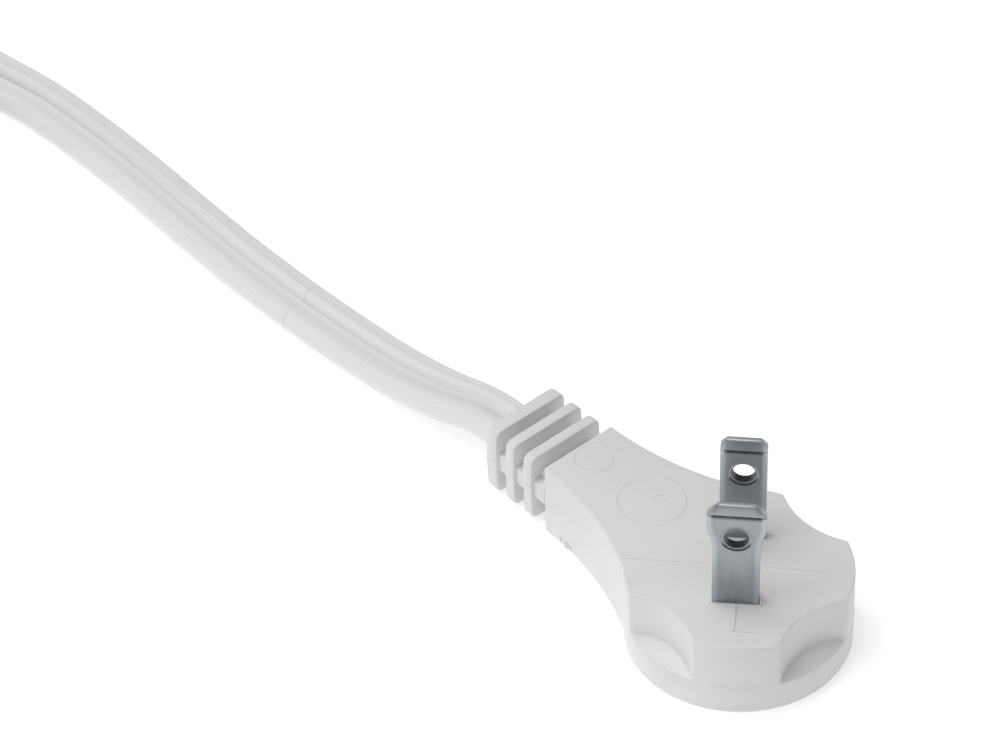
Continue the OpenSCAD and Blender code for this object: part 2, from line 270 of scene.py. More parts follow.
def soften(piece: bpy.types.Object, width: float, segments: int = 2, angle: float = 35.0) -> None:
    """Rounds a piece's edges and bakes the rounding into its mesh.

    Args:
        piece: the piece.
        width: how far the rounding reaches from the edge.
        segments: how many steps the rounding has.
        angle: only edges sharper than this are rounded, in degrees.
    """
    bevel = piece.modifiers.new("edges", "BEVEL")
    bevel.width = width * MM
    bevel.segments = segments
    bevel.limit_method = "ANGLE"
    bevel.angle_limit = math.radians(angle)
    bevel.use_clamp_overlap = True
    bevel.harden_normals = False
    settle(piece)


def settle(piece: bpy.types.Object) -> None:
    """Turns a piece's modified shape into its plain mesh and removes its modifiers."""
    graph = bpy.context.evaluated_depsgraph_get()
    graph.update()
    mesh = bpy.data.meshes.new_from_object(piece.evaluated_get(graph), depsgraph=graph)
    piece.modifiers.clear()
    old, piece.data = piece.data, mesh
    mesh.name = piece.name
    bpy.data.meshes.remove(old)


def outward(piece: bpy.types.Object, reach: float = 0.0005) -> None:
    """Merges doubled vertices and turns every face outwards.

    Args:
        piece: the piece.
        reach: vertices closer than this are merged, in millimetres.
    """
    with editing(piece) as mesh:
        bmesh.ops.remove_doubles(mesh, verts=mesh.verts, dist=reach * MM)
        bmesh.ops.recalc_face_normals(mesh, faces=mesh.faces)


def join(piece: bpy.types.Object, other: bpy.types.Object) -> None:
    """Adds another object's mesh to a piece and removes that object."""
    with editing(piece) as mesh:
        mesh.from_mesh(other.data)
    bpy.data.objects.remove(other)


def rounded_copy(node: str, name: str, width: float, segments: int = 2) -> bpy.types.Object:
    """Copies a CAD node with its edges rounded.

    Args:
        node: the CAD node.
        name: the new piece's name.
        width: how far the rounding reaches.
        segments: how many steps the rounding has.

    Returns:
        The new piece, which isn't riding on anything yet.
    """
    piece = new_object(name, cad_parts[node].data.copy())
    with editing(piece) as mesh:
        bmesh.ops.remove_doubles(mesh, verts=mesh.verts, dist=0.002 * MM)
        bmesh.ops.dissolve_limit(
            mesh, angle_limit=math.radians(1), verts=mesh.verts, edges=mesh.edges,
            delimit={"NORMAL"},
        )
    piece.data.materials.clear()
    soften(piece, width, segments, 40)
    return smooth(piece, 40)


# ---- Node trees ----


@dataclass
class Tree:
    """A short way to write a node tree."""

    nodes: bpy.types.NodeTree

    def add(self, kind: str, **values: object) -> bpy.types.Node:
        """Adds a node.

        Args:
            kind: the node's type.
            values: its properties by name, and its inputs by socket name with spaces as _.

        Returns:
            The node.
        """
        node = self.nodes.nodes.new(kind)
        for key, value in values.items():
            if hasattr(node, key):
                setattr(node, key, value)
                continue
            socket = self.socket(node, key)
            if isinstance(value, bpy.types.NodeSocket):
                self.nodes.links.new(value, socket)
            else:
                socket.default_value = value
        return node

    @staticmethod
    def socket(node: bpy.types.Node, key: str) -> bpy.types.NodeSocket:
        """Returns: an enabled input by its name, or by i and its number."""
        if key[0] == "i" and key[1:].isdigit():
            return node.inputs[int(key[1:])]
        name = key.replace("_", " ")
        return next(s for s in node.inputs if s.name == name and s.enabled)

    def math(self, operation: str, first: object, second: object = 0.0) -> bpy.types.NodeSocket:
        """Returns: the output of a Math node on two sockets or numbers."""
        return self.add("ShaderNodeMath", operation=operation, i0=first, i1=second).outputs[0]

    def ramp(self, value: bpy.types.NodeSocket, low: float, high: float) -> bpy.types.NodeSocket:
        """Returns: value turned to 0 at low and 1 at high, held between them."""
        return self.add("ShaderNodeMapRange", Value=value, From_Min=low, From_Max=high).outputs[0]

    def total(self, *parts: object) -> bpy.types.NodeSocket:
        """Returns: the sum of sockets or numbers."""
        found = parts[0]
        for part in parts[1:]:
            found = self.math("ADD", found, part)
        return found

    def product(self, first: object, second: object) -> bpy.types.NodeSocket:
        """Returns: the product of two sockets or numbers."""
        return self.math("MULTIPLY", first, second)

    def spread(
        self, value: bpy.types.NodeSocket, low: float, high: float
    ) -> bpy.types.NodeSocket:
        """Returns: a value from 0 to 1 turned to one from low to high."""
        return self.add("ShaderNodeMapRange", Value=value, To_Min=low, To_Max=high).outputs[0]

    def noise(
        self, where: bpy.types.NodeSocket, scale: float, detail: float = 2.0
    ) -> bpy.types.NodeSocket:
        """Returns: a noise texture's value at a scale, in bumps a metre."""
        return self.add("ShaderNodeTexNoise", Vector=where, Scale=scale, Detail=detail).outputs[0]

    def stretch(self, where: bpy.types.NodeSocket, factors: Point) -> bpy.types.NodeSocket:
        """Returns: a position scaled along each axis."""
        return self.add("ShaderNodeMapping", Vector=where, Scale=factors).outputs[0]


def shader_group(name: str, inputs: dict[str, float], outputs: Sequence[str]) -> Tree:
    """Starts a shader node group.

    Args:
        name: the group's name.
        inputs: its number inputs and their usual values; Position is added first.
        outputs: its outputs' names.

    Returns:
        The group's tree, with its input and output nodes in it.
    """
    group = bpy.data.node_groups.new(name, "ShaderNodeTree")
    group.interface.new_socket("Position", in_out="INPUT", socket_type="NodeSocketVector")
    for key, value in inputs.items():
        socket = group.interface.new_socket(key, in_out="INPUT", socket_type="NodeSocketFloat")
        socket.default_value = value
    for key in outputs:
        group.interface.new_socket(key, in_out="OUTPUT", socket_type="NodeSocketFloat")
    tree = Tree(group)
    tree.add("NodeGroupInput", name="in")
    tree.add("NodeGroupOutput", name="out")
    return tree


@cache
def moulded_skin_group() -> bpy.types.NodeTree:
    """Returns: the group for a moulded surface: fine texture, slow waves and faint clouding."""
    tree = shader_group(
        "moulded_skin", {"Grain": 2600.0, "Fine": 0.5, "Waves": 1.0}, ("Height", "Cloud")
    )
    start, end = tree.nodes.nodes["in"], tree.nodes.nodes["out"]
    where = start.outputs["Position"]
    grain = tree.add("ShaderNodeTexNoise", Vector=where, Scale=start.outputs["Grain"], Detail=3.0)
    waves = tree.noise(where, 110.0, 1.5)
    fine = tree.product(grain.outputs[0], start.outputs["Fine"])
    slow = tree.product(waves, start.outputs["Waves"])
    links = tree.nodes.links
    links.new(tree.total(fine, slow), end.inputs["Height"])
    links.new(tree.noise(where, 60.0, 3.0), end.inputs["Cloud"])
    return tree.nodes


@cache
def drawn_grain_group() -> bpy.types.NodeTree:
    """Returns: the group for rolled or drawn metal: fine lines and smudges."""
    tree = shader_group("drawn_grain", {"Lines": 1.0}, ("Height", "Smudge", "Lines"))
    start, end = tree.nodes.nodes["in"], tree.nodes.nodes["out"]
    where = start.outputs["Position"]
    lines = tree.noise(tree.stretch(where, (1.0, 1.0, 0.03)), 5200.0, 2.0)
    smudge = tree.noise(tree.stretch(where, (1.0, 1.0, 0.5)), 330.0, 4.0)
    links = tree.nodes.links
    links.new(tree.product(lines, start.outputs["Lines"]), end.inputs["Height"])
    links.new(smudge, end.inputs["Smudge"])
    links.new(lines, end.inputs["Lines"])
    return tree.nodes


@cache
def blade_painted_light_group() -> bpy.types.NodeTree:
    """Returns: the group for a blade's painted highlights and painted shade."""
    tree = shader_group("stamp_marks", {"Half": 0.004, "Tip": 0.0297}, ("Tone",))
    start, end = tree.nodes.nodes["in"], tree.nodes.nodes["out"]
    place_at = tree.add("ShaderNodeSeparateXYZ", Vector=start.outputs["Position"])
    x, z = tree.math("ABSOLUTE", place_at.outputs[0]), place_at.outputs[2]

    def band(value: bpy.types.NodeSocket, low: float, high: float) -> bpy.types.NodeSocket:
        return tree.ramp(value, low * MM, high * MM)

    under = tree.math("SUBTRACT", start.outputs["Tip"], z)
    extra = tree.math("SUBTRACT", start.outputs["Half"], BLADE_HALF * MM)
    width = tree.total(tree.product(band(under, FLARE_STARTS, 3.9), extra), BLADE_HALF * MM)
    inset = tree.math("SUBTRACT", width, x)
    crease = tree.product(band(under, TIP_BEVEL, 1.63), band(under, 2.35, 1.8))
    drop = tree.math("SUBTRACT", under, HOLE_DROP * MM)
    away = tree.math("SQRT", tree.total(tree.product(x, x), tree.product(drop, drop)))
    ring = tree.product(band(away, 1.86, 1.93), band(away, 2.3, 2.12))
    crown = tree.product(tree.product(x, x), -90.0)
    # Painted highlight: a lighter strip along each side edge of the blade.
    tone = tree.total(0.6, tree.product(band(inset, 0.95, 0.45), 0.22))
    # Painted shade, taken off the tone by each depth: in the tip's crease, in the lower part of a
    # ring round the hole, across the foot and at the hole's edge. The last entry, with a negative
    # depth, is a painted highlight along the tip.
    marks = (
        (tree.product(crease, band(inset, 0.5, 0.62)), 0.56),
        (tree.product(ring, band(drop, 0.5, 1.3)), 0.54),
        (band(tree.total(under, crown), 16.5, 16.9), 0.16),
        (band(away, 1.72, 1.62), 0.55),
        (band(under, 0.16, 0.08), -0.6),
    )
    for mask, depth in marks:
        tone = tree.math("SUBTRACT", tone, tree.product(mask, depth))
    tree.nodes.links.new(tone, end.inputs["Tone"])
    return tree.nodes


def start_material(name: str, **fixed: object) -> tuple[bpy.types.Material, Tree, bpy.types.Node]:
    """Starts a material.

    Args:
        name: its name.
        fixed: values set on the Principled shader's own sockets, with spaces as _.

    Returns:
        The material, its tree and its Principled shader.
    """
    material = bpy.data.materials.new(name)
    material.use_nodes = True
    tree = Tree(material.node_tree)
    shader = material.node_tree.nodes["Principled BSDF"]
    for key, value in fixed.items():
        shader.inputs[key.replace("_", " ")].default_value = value
    return material, tree, shader


def use_group(tree: Tree, group: bpy.types.NodeTree, where: bpy.types.NodeSocket) -> bpy.types.Node:
    """Returns: a node that runs a shared group at a position."""
    node = tree.add("ShaderNodeGroup", node_tree=group)
    tree.nodes.links.new(where, node.inputs["Position"])
    return node


def connect(
    tree: Tree,
    shader: bpy.types.Node,
    colour: bpy.types.NodeSocket,
    rough: bpy.types.NodeSocket,
    height: bpy.types.NodeSocket,
    bump: Flat,
) -> None:
    """Connects a shader's colour, roughness and bump.

    Args:
        tree: the material's tree.
        shader: its Principled shader.
        colour: the colour.
        rough: the roughness.
        height: the height that the bump follows.
        bump: the bump's strength, and its depth in millimetres.
    """
    strength, depth = bump
    bumped = tree.add("ShaderNodeBump", Height=height, Strength=strength, Distance=depth * MM)
    ends = {"Base Color": colour, "Roughness": rough, "Normal": bumped.outputs[0]}
    for key, source in ends.items():
        tree.nodes.links.new(source, shader.inputs[key])


def two_tone(tree: Tree, mask: object, first: Point, second: Point) -> bpy.types.NodeSocket:
    """Returns: a colour that goes from first to second with a mask."""
    mix = tree.add("ShaderNodeMix", data_type="RGBA", i0=mask, i6=(*first, 1), i7=(*second, 1))
    return mix.outputs[2]


@dataclass(frozen=True)
class MouldedPlastic:
    """A moulded plastic or vinyl.

    Attributes:
        name: the material's name.
        colour: its colour.
        shade: its colour where it is slightly darker.
        roughness: its roughness, before the clouding.
        grain: how many grains a metre its surface texture has.
        depth: how deep the texture is, in millimetres.
        soft: how much light goes in under the surface.
    """

    name: str
    colour: Point
    shade: Point
    roughness: float = 0.4
    grain: float = 2600.0
    depth: float = 0.02
    soft: float = 0.0

    def make(self) -> bpy.types.Material:
        """Returns: the material."""
        material, tree, shader = start_material(
            self.name, Specular_IOR_Level=0.45, Subsurface_Weight=self.soft, Subsurface_Scale=0.001
        )
        where = tree.add("ShaderNodeTexCoord").outputs["Object"]
        skin = use_group(tree, moulded_skin_group(), where)
        skin.inputs["Grain"].default_value = self.grain
        mask = tree.ramp(skin.outputs["Cloud"], 0.35, 0.7)
        colour = two_tone(tree, mask, self.colour, self.shade)
        rough = tree.spread(mask, self.roughness - 0.03, self.roughness + 0.05)
        connect(tree, shader, colour, rough, skin.outputs["Height"], (0.35, self.depth))
        return material


@dataclass(frozen=True)
class Insulation:
    """Extruded vinyl insulation: lengthwise drag lines, faint handling marks and painted shade.

    Attributes:
        name: the material's name.
        colour: its colour.
        shade: its colour in the drag lines and in its painted shade.
        roughness: its usual roughness.
        nick: how far along the cord its surface is creased, in millimetres; the crease is a bump
            with painted shade in it.
    """

    name: str
    colour: Point
    shade: Point
    roughness: float = 0.36
    nick: float = 46.0

    def make(self) -> bpy.types.Material:
        """Returns: the material."""
        material, tree, shader = start_material(
            self.name, Specular_IOR_Level=0.5, Subsurface_Weight=0.05, Subsurface_Scale=0.001
        )
        along, around, valley = (
            tree.add("ShaderNodeAttribute", attribute_name=name).outputs["Fac"]
            for name in ("along", "around", "valley")
        )
        strip = tree.add("ShaderNodeCombineXYZ", X=along, Y=around).outputs[0]
        drag = tree.noise(tree.stretch(strip, (18.0, 5200.0, 1.0)), 1.0, 3.0)
        marks = tree.noise(tree.stretch(strip, (90.0, 300.0, 1.0)), 1.0, 4.0)
        wander = tree.noise(tree.stretch(strip, (60.0, 420.0, 1.0)), 1.0, 3.0)
        place_at = tree.total(along, tree.product(wander, 2.4 * MM))
        off = tree.math("ABSOLUTE", tree.math("SUBTRACT", place_at, self.nick * MM))
        # The crease: sunk by the bump below, and darkened with painted shade.
        nick = tree.ramp(off, 0.24 * MM, 0.05 * MM)
        height = tree.total(tree.product(drag, 0.4), tree.product(marks, 0.7))
        height = tree.math("SUBTRACT", height, tree.product(nick, 4.0))
        mask = tree.product(tree.ramp(drag, 0.4, 0.75), 0.6)
        # Painted shade in the rib valleys, in the groove over the web and in the crease; the drag
        # lines are the vinyl's own tone.
        tone = tree.math("MAXIMUM", tree.math("MAXIMUM", mask, nick), tree.product(valley, 0.75))
        colour = two_tone(tree, tone, self.colour, self.shade)
        rough = tree.spread(marks, self.roughness - 0.08, self.roughness + 0.1)
        connect(tree, shader, colour, rough, height, (0.3, 0.03))
        return material


@dataclass(frozen=True)
class DrawnMetal:
    """A rolled, stamped or drawn metal.

    Attributes:
        name: the material's name.
        bright: its colour where it is clean.
        dull: its colour where it is smudged.
        roughness: its usual roughness.
        lines: how strong its grain lines are.
    """

    name: str
    bright: Point
    dull: Point
    roughness: float = 0.3
    lines: float = 1.0

    def make(self) -> bpy.types.Material:
        """Returns: the material."""
        material, tree, shader = start_material(self.name, Metallic=1.0)
        where = tree.add("ShaderNodeTexCoord").outputs["Object"]
        grain = use_group(tree, drawn_grain_group(), where)
        grain.inputs["Lines"].default_value = self.lines
        mask = tree.ramp(grain.outputs["Smudge"], 0.35, 0.7)
        colour = two_tone(tree, mask, self.bright, self.dull)
        rough = tree.total(
            tree.product(grain.outputs["Lines"], 0.14),
            tree.spread(mask, self.roughness - 0.1, self.roughness + 0.05),
        )
        connect(tree, shader, colour, rough, grain.outputs["Height"], (0.25, 0.01))
        return material


@dataclass(frozen=True)
class StampedBlade:
    """Plated blade metal, with painted highlights and painted shade.

    Attributes:
        name: the material's name.
        half: half the width of the blade's tip, in millimetres.
        bright: its lightest colour.
        dark: its colour where the painted shade is deepest.
        roughness: its usual roughness.
    """

    name: str
    half: float
    bright: Point = (0.535, 0.565, 0.59)
    dark: Point = (0.043, 0.049, 0.053)
    roughness: float = 0.4

    def make(self) -> bpy.types.Material:
        """Returns: the material."""
        material, tree, shader = start_material(self.name, Metallic=1.0)
        where = tree.add("ShaderNodeTexCoord").outputs["Object"]
        grain = use_group(tree, drawn_grain_group(), where)
        # Painted highlights and painted shade from the group, as a tone from dark to bright.
        marks = use_group(tree, blade_painted_light_group(), where)
        marks.inputs["Half"].default_value = self.half * MM
        uneven = tree.product(tree.math("SUBTRACT", grain.outputs["Smudge"], 0.5), 0.18)
        fine = tree.product(tree.math("SUBTRACT", grain.outputs["Lines"], 0.5), 0.16)
        tone = tree.total(marks.outputs["Tone"], uneven, fine)
        swirl = tree.add(
            "ShaderNodeTexWave", Vector=where, Scale=620.0, Distortion=5.0, Detail=1.0,
            bands_direction="DIAGONAL",
        )
        height = tree.total(tree.product(swirl.outputs["Fac"], 0.25), grain.outputs["Height"])
        colour = two_tone(tree, tone, self.dark, self.bright)
        rough = tree.spread(
            grain.outputs["Smudge"], self.roughness - 0.05, self.roughness + 0.08
        )
        connect(tree, shader, colour, rough, height, (0.3, 0.01))
        return material


class Finishes:
    """Every finish on the cord, made once."""

    def __init__(self) -> None:
        """Makes the materials."""
        white, grey = (0.76, 0.765, 0.77), (0.725, 0.73, 0.735)
        lid, coat = (0.77, 0.775, 0.78), (0.8, 0.8, 0.79)
        # drag: the cord's darker colour, in its drag lines and in its painted shade in valleys,
        # groove and crease.
        pale, drag = (0.795, 0.8, 0.805), (0.68, 0.685, 0.69)
        self.vinyl = MouldedPlastic("white_vinyl", white, grey, 0.42, 2600, 0.03, 0.05).make()
        self.cord = Insulation("white_insulation", pale, drag).make()
        self.shell = MouldedPlastic("tap_shell", white, grey, 0.3, 3600, 0.012).make()
        self.cover = MouldedPlastic("twist_cover", lid, grey, 0.34, 3600, 0.012).make()
        self.nylon = MouldedPlastic("nylon", (0.72, 0.7, 0.62), (0.66, 0.64, 0.56), 0.5).make()
        self.tie = MouldedPlastic("tie_coat", coat, grey, 0.38, 1800).make()
        self.blades = {
            Side.NEUTRAL: StampedBlade("neutral_blade_plate", 3.97).make(),
            Side.LINE: StampedBlade("line_blade_plate", BLADE_HALF).make(),
        }
        self.copper = DrawnMetal("copper_wire", (0.85, 0.5, 0.33), (0.6, 0.32, 0.2), 0.35).make()
        self.brass = DrawnMetal("stamped_brass", (0.78, 0.63, 0.32), (0.6, 0.46, 0.22), 0.3).make()
        self.zinc = DrawnMetal("zinc_plate", (0.6, 0.61, 0.62), (0.45, 0.46, 0.47), 0.35).make()


def dress(piece: bpy.types.Object, material: bpy.types.Material) -> None:
    """Gives a piece one material on all its faces."""
    piece.data.materials.clear()
    piece.data.materials.append(material)


def place(piece: bpy.types.Object, nodes: Sequence[str], body: str = ROOT_BODY) -> None:
    """Hands a finished piece to the frame and reports it.

    Args:
        piece: the piece.
        nodes: the CAD nodes it stands for.
        body: the CAD body it rides on.
    """
    if nodes:
        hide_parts(*nodes)
    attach(piece, body)
    log.info("%s: %d faces, rides on %s", piece.name, len(piece.data.polygons), body)


# ---- Geometry Nodes ----


def geometry_tree(name: str) -> Tree:
    """Starts a Geometry Nodes tree.

    Args:
        name: the tree's name.

    Returns:
        The tree, with its input node, which takes a Geometry, a Source object and a Material, and
        its output node.
    """
    group = bpy.data.node_groups.new(name, "GeometryNodeTree")
    for key in ("Geometry", "Source", "Material"):
        kind = "Object" if key == "Source" else key
        group.interface.new_socket(key, in_out="INPUT", socket_type=f"NodeSocket{kind}")
    group.interface.new_socket("Geometry", in_out="OUTPUT", socket_type="NodeSocketGeometry")
    tree = Tree(group)
    tree.add("NodeGroupInput", name="in")
    tree.add("NodeGroupOutput", name="out")
    return tree


def close_tree(tree: Tree, geometry: bpy.types.NodeSocket) -> None:
    """Ends a tree in Realize Instances and Set Material, with its Material input."""
    whole = tree.add("GeometryNodeRealizeInstances", Geometry=geometry)
    painted = tree.add("GeometryNodeSetMaterial", Geometry=whole.outputs[0])
    links = tree.nodes.links
    links.new(tree.nodes.nodes["in"].outputs["Material"], painted.inputs["Material"])
    links.new(painted.outputs[0], tree.nodes.nodes["out"].inputs[0])


def attribute(tree: Tree, name: str, kind: str) -> bpy.types.NodeSocket:
    """Returns: a named attribute's output in a Geometry Nodes tree."""
    return tree.add("GeometryNodeInputNamedAttribute", data_type=kind, Name=name).outputs[0]


@cache
def sweep_tree() -> Tree:
    """Returns: the tree that sweeps a section along a route with a set direction across it."""
    tree = geometry_tree("sweep_section")
    start = tree.nodes.nodes["in"]
    line = tree.add("GeometryNodeMeshToCurve", Mesh=start.outputs["Geometry"])
    turned = tree.add("GeometryNodeSetCurveNormal", mode="FREE", Curve=line.outputs[0])
    tree.nodes.links.new(attribute(tree, "across", "FLOAT_VECTOR"), Tree.socket(turned, "Normal"))
    section = tree.add("GeometryNodeObjectInfo", Object=start.outputs["Source"])
    ring = tree.add("GeometryNodeMeshToCurve", Mesh=section.outputs["Geometry"])
    skin = tree.add(
        "GeometryNodeCurveToMesh", Curve=turned.outputs[0], Profile_Curve=ring.outputs[0]
    )
    skin.inputs["Fill Caps"].default_value = True
    close_tree(tree, skin.outputs[0])
    return tree


@cache
def repeat_tree() -> Tree:
    """Returns: the tree that puts a copy of a piece on each point, turned and sized by it."""
    tree = geometry_tree("repeat_piece")
    start = tree.nodes.nodes["in"]
    master = tree.add("GeometryNodeObjectInfo", Object=start.outputs["Source"])
    copies = tree.add(
        "GeometryNodeInstanceOnPoints",
        Points=start.outputs["Geometry"],
        Instance=master.outputs["Geometry"],
        Rotation=attribute(tree, "turn", "FLOAT_VECTOR"),
        Scale=attribute(tree, "size", "FLOAT_VECTOR"),
    )
    close_tree(tree, copies.outputs[0])
    return tree


def set_input(modifier: bpy.types.NodesModifier, name: str, value: object) -> None:
    """Sets a Geometry Nodes input by its socket's identifier."""
    for socket in modifier.node_group.interface.items_tree:
        if socket.item_type == "SOCKET" and socket.in_out == "INPUT" and socket.name == name:
            modifier[socket.identifier] = value


def grow(
    piece: bpy.types.Object, tree: Tree, source: bpy.types.Object, material: bpy.types.Material
) -> bpy.types.Object:
    """Runs a Geometry Nodes tree on a piece and keeps the result as its mesh.

    Args:
        piece: the points or route.
        tree: the tree.
        source: the section or the piece that is repeated, which is removed afterwards.
        material: the finish.

    Returns:
        The piece.
    """
    modifier = piece.modifiers.new("grow", "NODES")
    modifier.node_group = tree.nodes
    set_input(modifier, "Source", source)
    set_input(modifier, "Material", material)
    settle(piece)
    bpy.data.objects.remove(source)
    return piece


def points_piece(name: str, places: Sequence[tuple[Point, Point, Point]]) -> bpy.types.Object:
    """Makes the points that a piece is repeated on.

    Args:
        name: the piece's name.
        places: for each copy, where it is in millimetres, its turn in degrees and its size.

    Returns:
        The object, with turn and size on its points.
    """
    mesh = bpy.data.meshes.new(name)
    mesh.from_pydata([tuple(c * MM for c in p[0]) for p in places], [], [])
    for key, which, scale in (("turn", 1, math.pi / 180), ("size", 2, 1.0)):
        values = mesh.attributes.new(key, "FLOAT_VECTOR", "POINT")
        for i, p in enumerate(places):
            values.data[i].vector = [c * scale for c in p[which]]
    return new_object(name, mesh)


@dataclass
class Route:
    """A smooth route with a roll at each point, for whatever is swept along it.

    Attributes:
        points: where it goes.
        rolls: how far the section is rolled there, in degrees.
    """

    points: list[Vector] = field(default_factory=list)
    rolls: list[float] = field(default_factory=list)

    def extend(self, points: Sequence[Vector], rolls: Sequence[float]) -> None:
        """Adds a stretch, leaving out a first point that is already there."""
        first = 1 if self.points and (self.points[-1] - points[0]).length < 0.05 else 0
        self.points += list(points)[first:]
        self.rolls += list(rolls)[first:]

    def length(self) -> float:
        """Returns: its length."""
        return sum((b - a).length for a, b in zip(self.points, self.points[1:]))

    def across(self) -> list[Vector]:
        """Returns: at each point, the direction of the section's +X, square to the route."""
        found = []
        for i, roll in enumerate(self.rolls):
            low, high = self.points[max(i - 1, 0)], self.points[min(i + 1, len(self.points) - 1)]
            ahead = (high - low).normalized()
            side = Vector((0, 0, 1)).cross(ahead).normalized()
            up = ahead.cross(side)
            a = math.radians(roll)
            found.append(side * math.cos(a) + up * math.sin(a))
        return found

    def object(self, name: str) -> bpy.types.Object:
        """Makes the route an object of vertices and edges.

        Args:
            name: the object's name.

        Returns:
            The object, with across and along on its points.
        """
        mesh = bpy.data.meshes.new(name)
        edges = [(i, i + 1) for i in range(len(self.points) - 1)]
        mesh.from_pydata([tuple(p * MM) for p in self.points], edges, [])
        across = mesh.attributes.new("across", "FLOAT_VECTOR", "POINT")
        for i, side in enumerate(self.across()):
            across.data[i].vector = side
        along = mesh.attributes.new("along", "FLOAT", "POINT")
        run = 0.0
        for i, point in enumerate(self.points):
            run += (point - self.points[max(i - 1, 0)]).length * MM
            along.data[i].value = run
        return new_object(name, mesh)


def curved(points: Sequence[Point], rolls: Sequence[float], step: float) -> Route:
    """Returns a route that runs smoothly through points, with a point every step.

    Args:
        points: the points it goes through.
        rolls: the roll at each, in degrees.
        step: the distance between its own points.
    """
    line = [Vector(p) for p in points]
    n = len(line)
    slopes = [(line[min(i + 1, n - 1)] - line[max(i - 1, 0)]).normalized() for i in range(n)]
    route = Route()
    for i in range(n - 1):
        gap = (line[i + 1] - line[i]).length
        count = max(2, round(gap / step))
        stretch, turns = [], []
        for k in range(count + 1):
            t = k / count
            a, b = 2 * t**3 - 3 * t**2 + 1, t**3 - 2 * t**2 + t
            c, d = 3 * t**2 - 2 * t**3, t**3 - t**2
            ends, pulls = line[i] * a + line[i + 1] * c, slopes[i] * b + slopes[i + 1] * d
            stretch.append(ends + pulls * gap)
            turns.append(rolls[i] + (rolls[i + 1] - rolls[i]) * t)
        route.extend(stretch, turns)
    return route


def ring_object(name: str, outline: Sequence[Flat], valleys: Sequence[float]) -> bpy.types.Object:
    """Makes a closed section for a sweep.

    Args:
        name: the object's name.
        outline: its points, counter-clockwise.
        valleys: how deep in a valley each point is, from 0 to 1.

    Returns:
        The object, with around and valley on its points; around is the distance along the
        section in metres.
    """
    mesh = bpy.data.meshes.new(name)
    n = len(outline)
    edges = [(i, (i + 1) % n) for i in range(n)]
    mesh.from_pydata([(x * MM, y * MM, 0) for x, y in outline], edges, [])
    mesh.attributes.new("around", "FLOAT", "POINT")
    mesh.attributes.new("valley", "FLOAT", "POINT")
    run = 0.0
    for i in range(n):
        mesh.attributes["around"].data[i].value = run * MM
        mesh.attributes["valley"].data[i].value = valleys[i]
        run += math.dist(outline[i], outline[(i + 1) % n])
    return new_object(name, mesh)


# ---- Studio ----


@dataclass
class Studio:
    """Camera, floor and lights.

    Attributes:
        azimuth: the camera's turn about +Z from -Y, in degrees.
        elevation: its height above the floor, in degrees.
        roll: its turn about its own view, in degrees.
        target: the point it aims at.
        distance: how far from that point it is.
        lens: its focal length.
        glow: how much light the surroundings and the floor give off.
    """

    azimuth: float = 7.39
    elevation: float = 42.04
    roll: float = -1.47
    target: Point = (-37.45, 43.37, 6.0)
    distance: float = 700.0
    lens: float = 176.28
    glow: float = 0.38

    def build(self) -> None:
        """Builds the camera first, then the floor and the lights."""
        self.camera()
        self.floor()
        self.lamp("key", (-1100, -250, 620), 700, 1.7)
        self.lamp("top", (-340, 20, 1150), 800, 7.2)
        self.surroundings()

    def camera(self) -> None:
        """Builds the camera."""
        az, el, turn = (math.radians(a) for a in (self.azimuth, self.elevation, self.roll))
        back = Vector((math.sin(az) * math.cos(el), -math.cos(az) * math.cos(el), math.sin(el)))
        right = Vector((math.cos(az), math.sin(az), 0))
        up = back.cross(right)
        across = right * math.cos(turn) + up * math.sin(turn)
        upright = up * math.cos(turn) - right * math.sin(turn)
        data = bpy.data.cameras.new("camera")
        data.lens, data.sensor_width, data.clip_end = self.lens, 36, 10
        camera = new_object("camera", data)
        place_at = (Vector(self.target) + back * self.distance) * MM
        camera.matrix_world = Matrix(
            [[across[i], upright[i], back[i], place_at[i]] for i in range(3)] + [[0, 0, 0, 1]]
        )
        bpy.context.scene.camera = camera
        bpy.context.scene.view_settings.view_transform = "Standard"

    def floor(self, half: float = 6000.0, height: float = -0.03) -> None:
        """Builds the pale floor.

        Args:
            half: half its width.
            height: its height, a hair under the plug.
        """
        sheet = Shape()
        corners = ((-half, -half), (half, -half), (half, half), (-half, half))
        sheet.add([(x, y, height) for x, y in corners], [(0, 1, 2, 3)])
        floor = sheet.make("floor")
        material, _, _ = start_material(
            "floor", Base_Color=(0.9, 0.9, 0.9, 1), Roughness=0.9, Specular_IOR_Level=0.1,
            Emission_Color=(*WHITE, 1), Emission_Strength=self.glow,
        )
        dress(floor, material)

    def surroundings(self) -> None:
        """Builds the even light from all round."""
        world = bpy.data.worlds.new("studio")
        world.use_nodes = True
        sky = world.node_tree.nodes["Background"]
        sky.inputs["Color"].default_value = (*WHITE, 1)
        sky.inputs["Strength"].default_value = self.glow
        bpy.context.scene.world = world

    def lamp(self, name: str, at: Point, size: float, power: float) -> None:
        """Builds one white area light aimed at the plug.

        Args:
            name: its name.
            at: where it stands.
            size: its width.
            power: its power in watts.
        """
        data = bpy.data.lights.new(name, "AREA")
        data.size, data.energy, data.color = size * MM, power, WHITE
        lamp = new_object(name, data)
        lamp.location = Vector(at) * MM
        aim = Vector((-20, 30, 0)) - Vector(at)
        lamp.rotation_euler = aim.to_track_quat("-Z", "Y").to_euler()


# ---- Cord ----


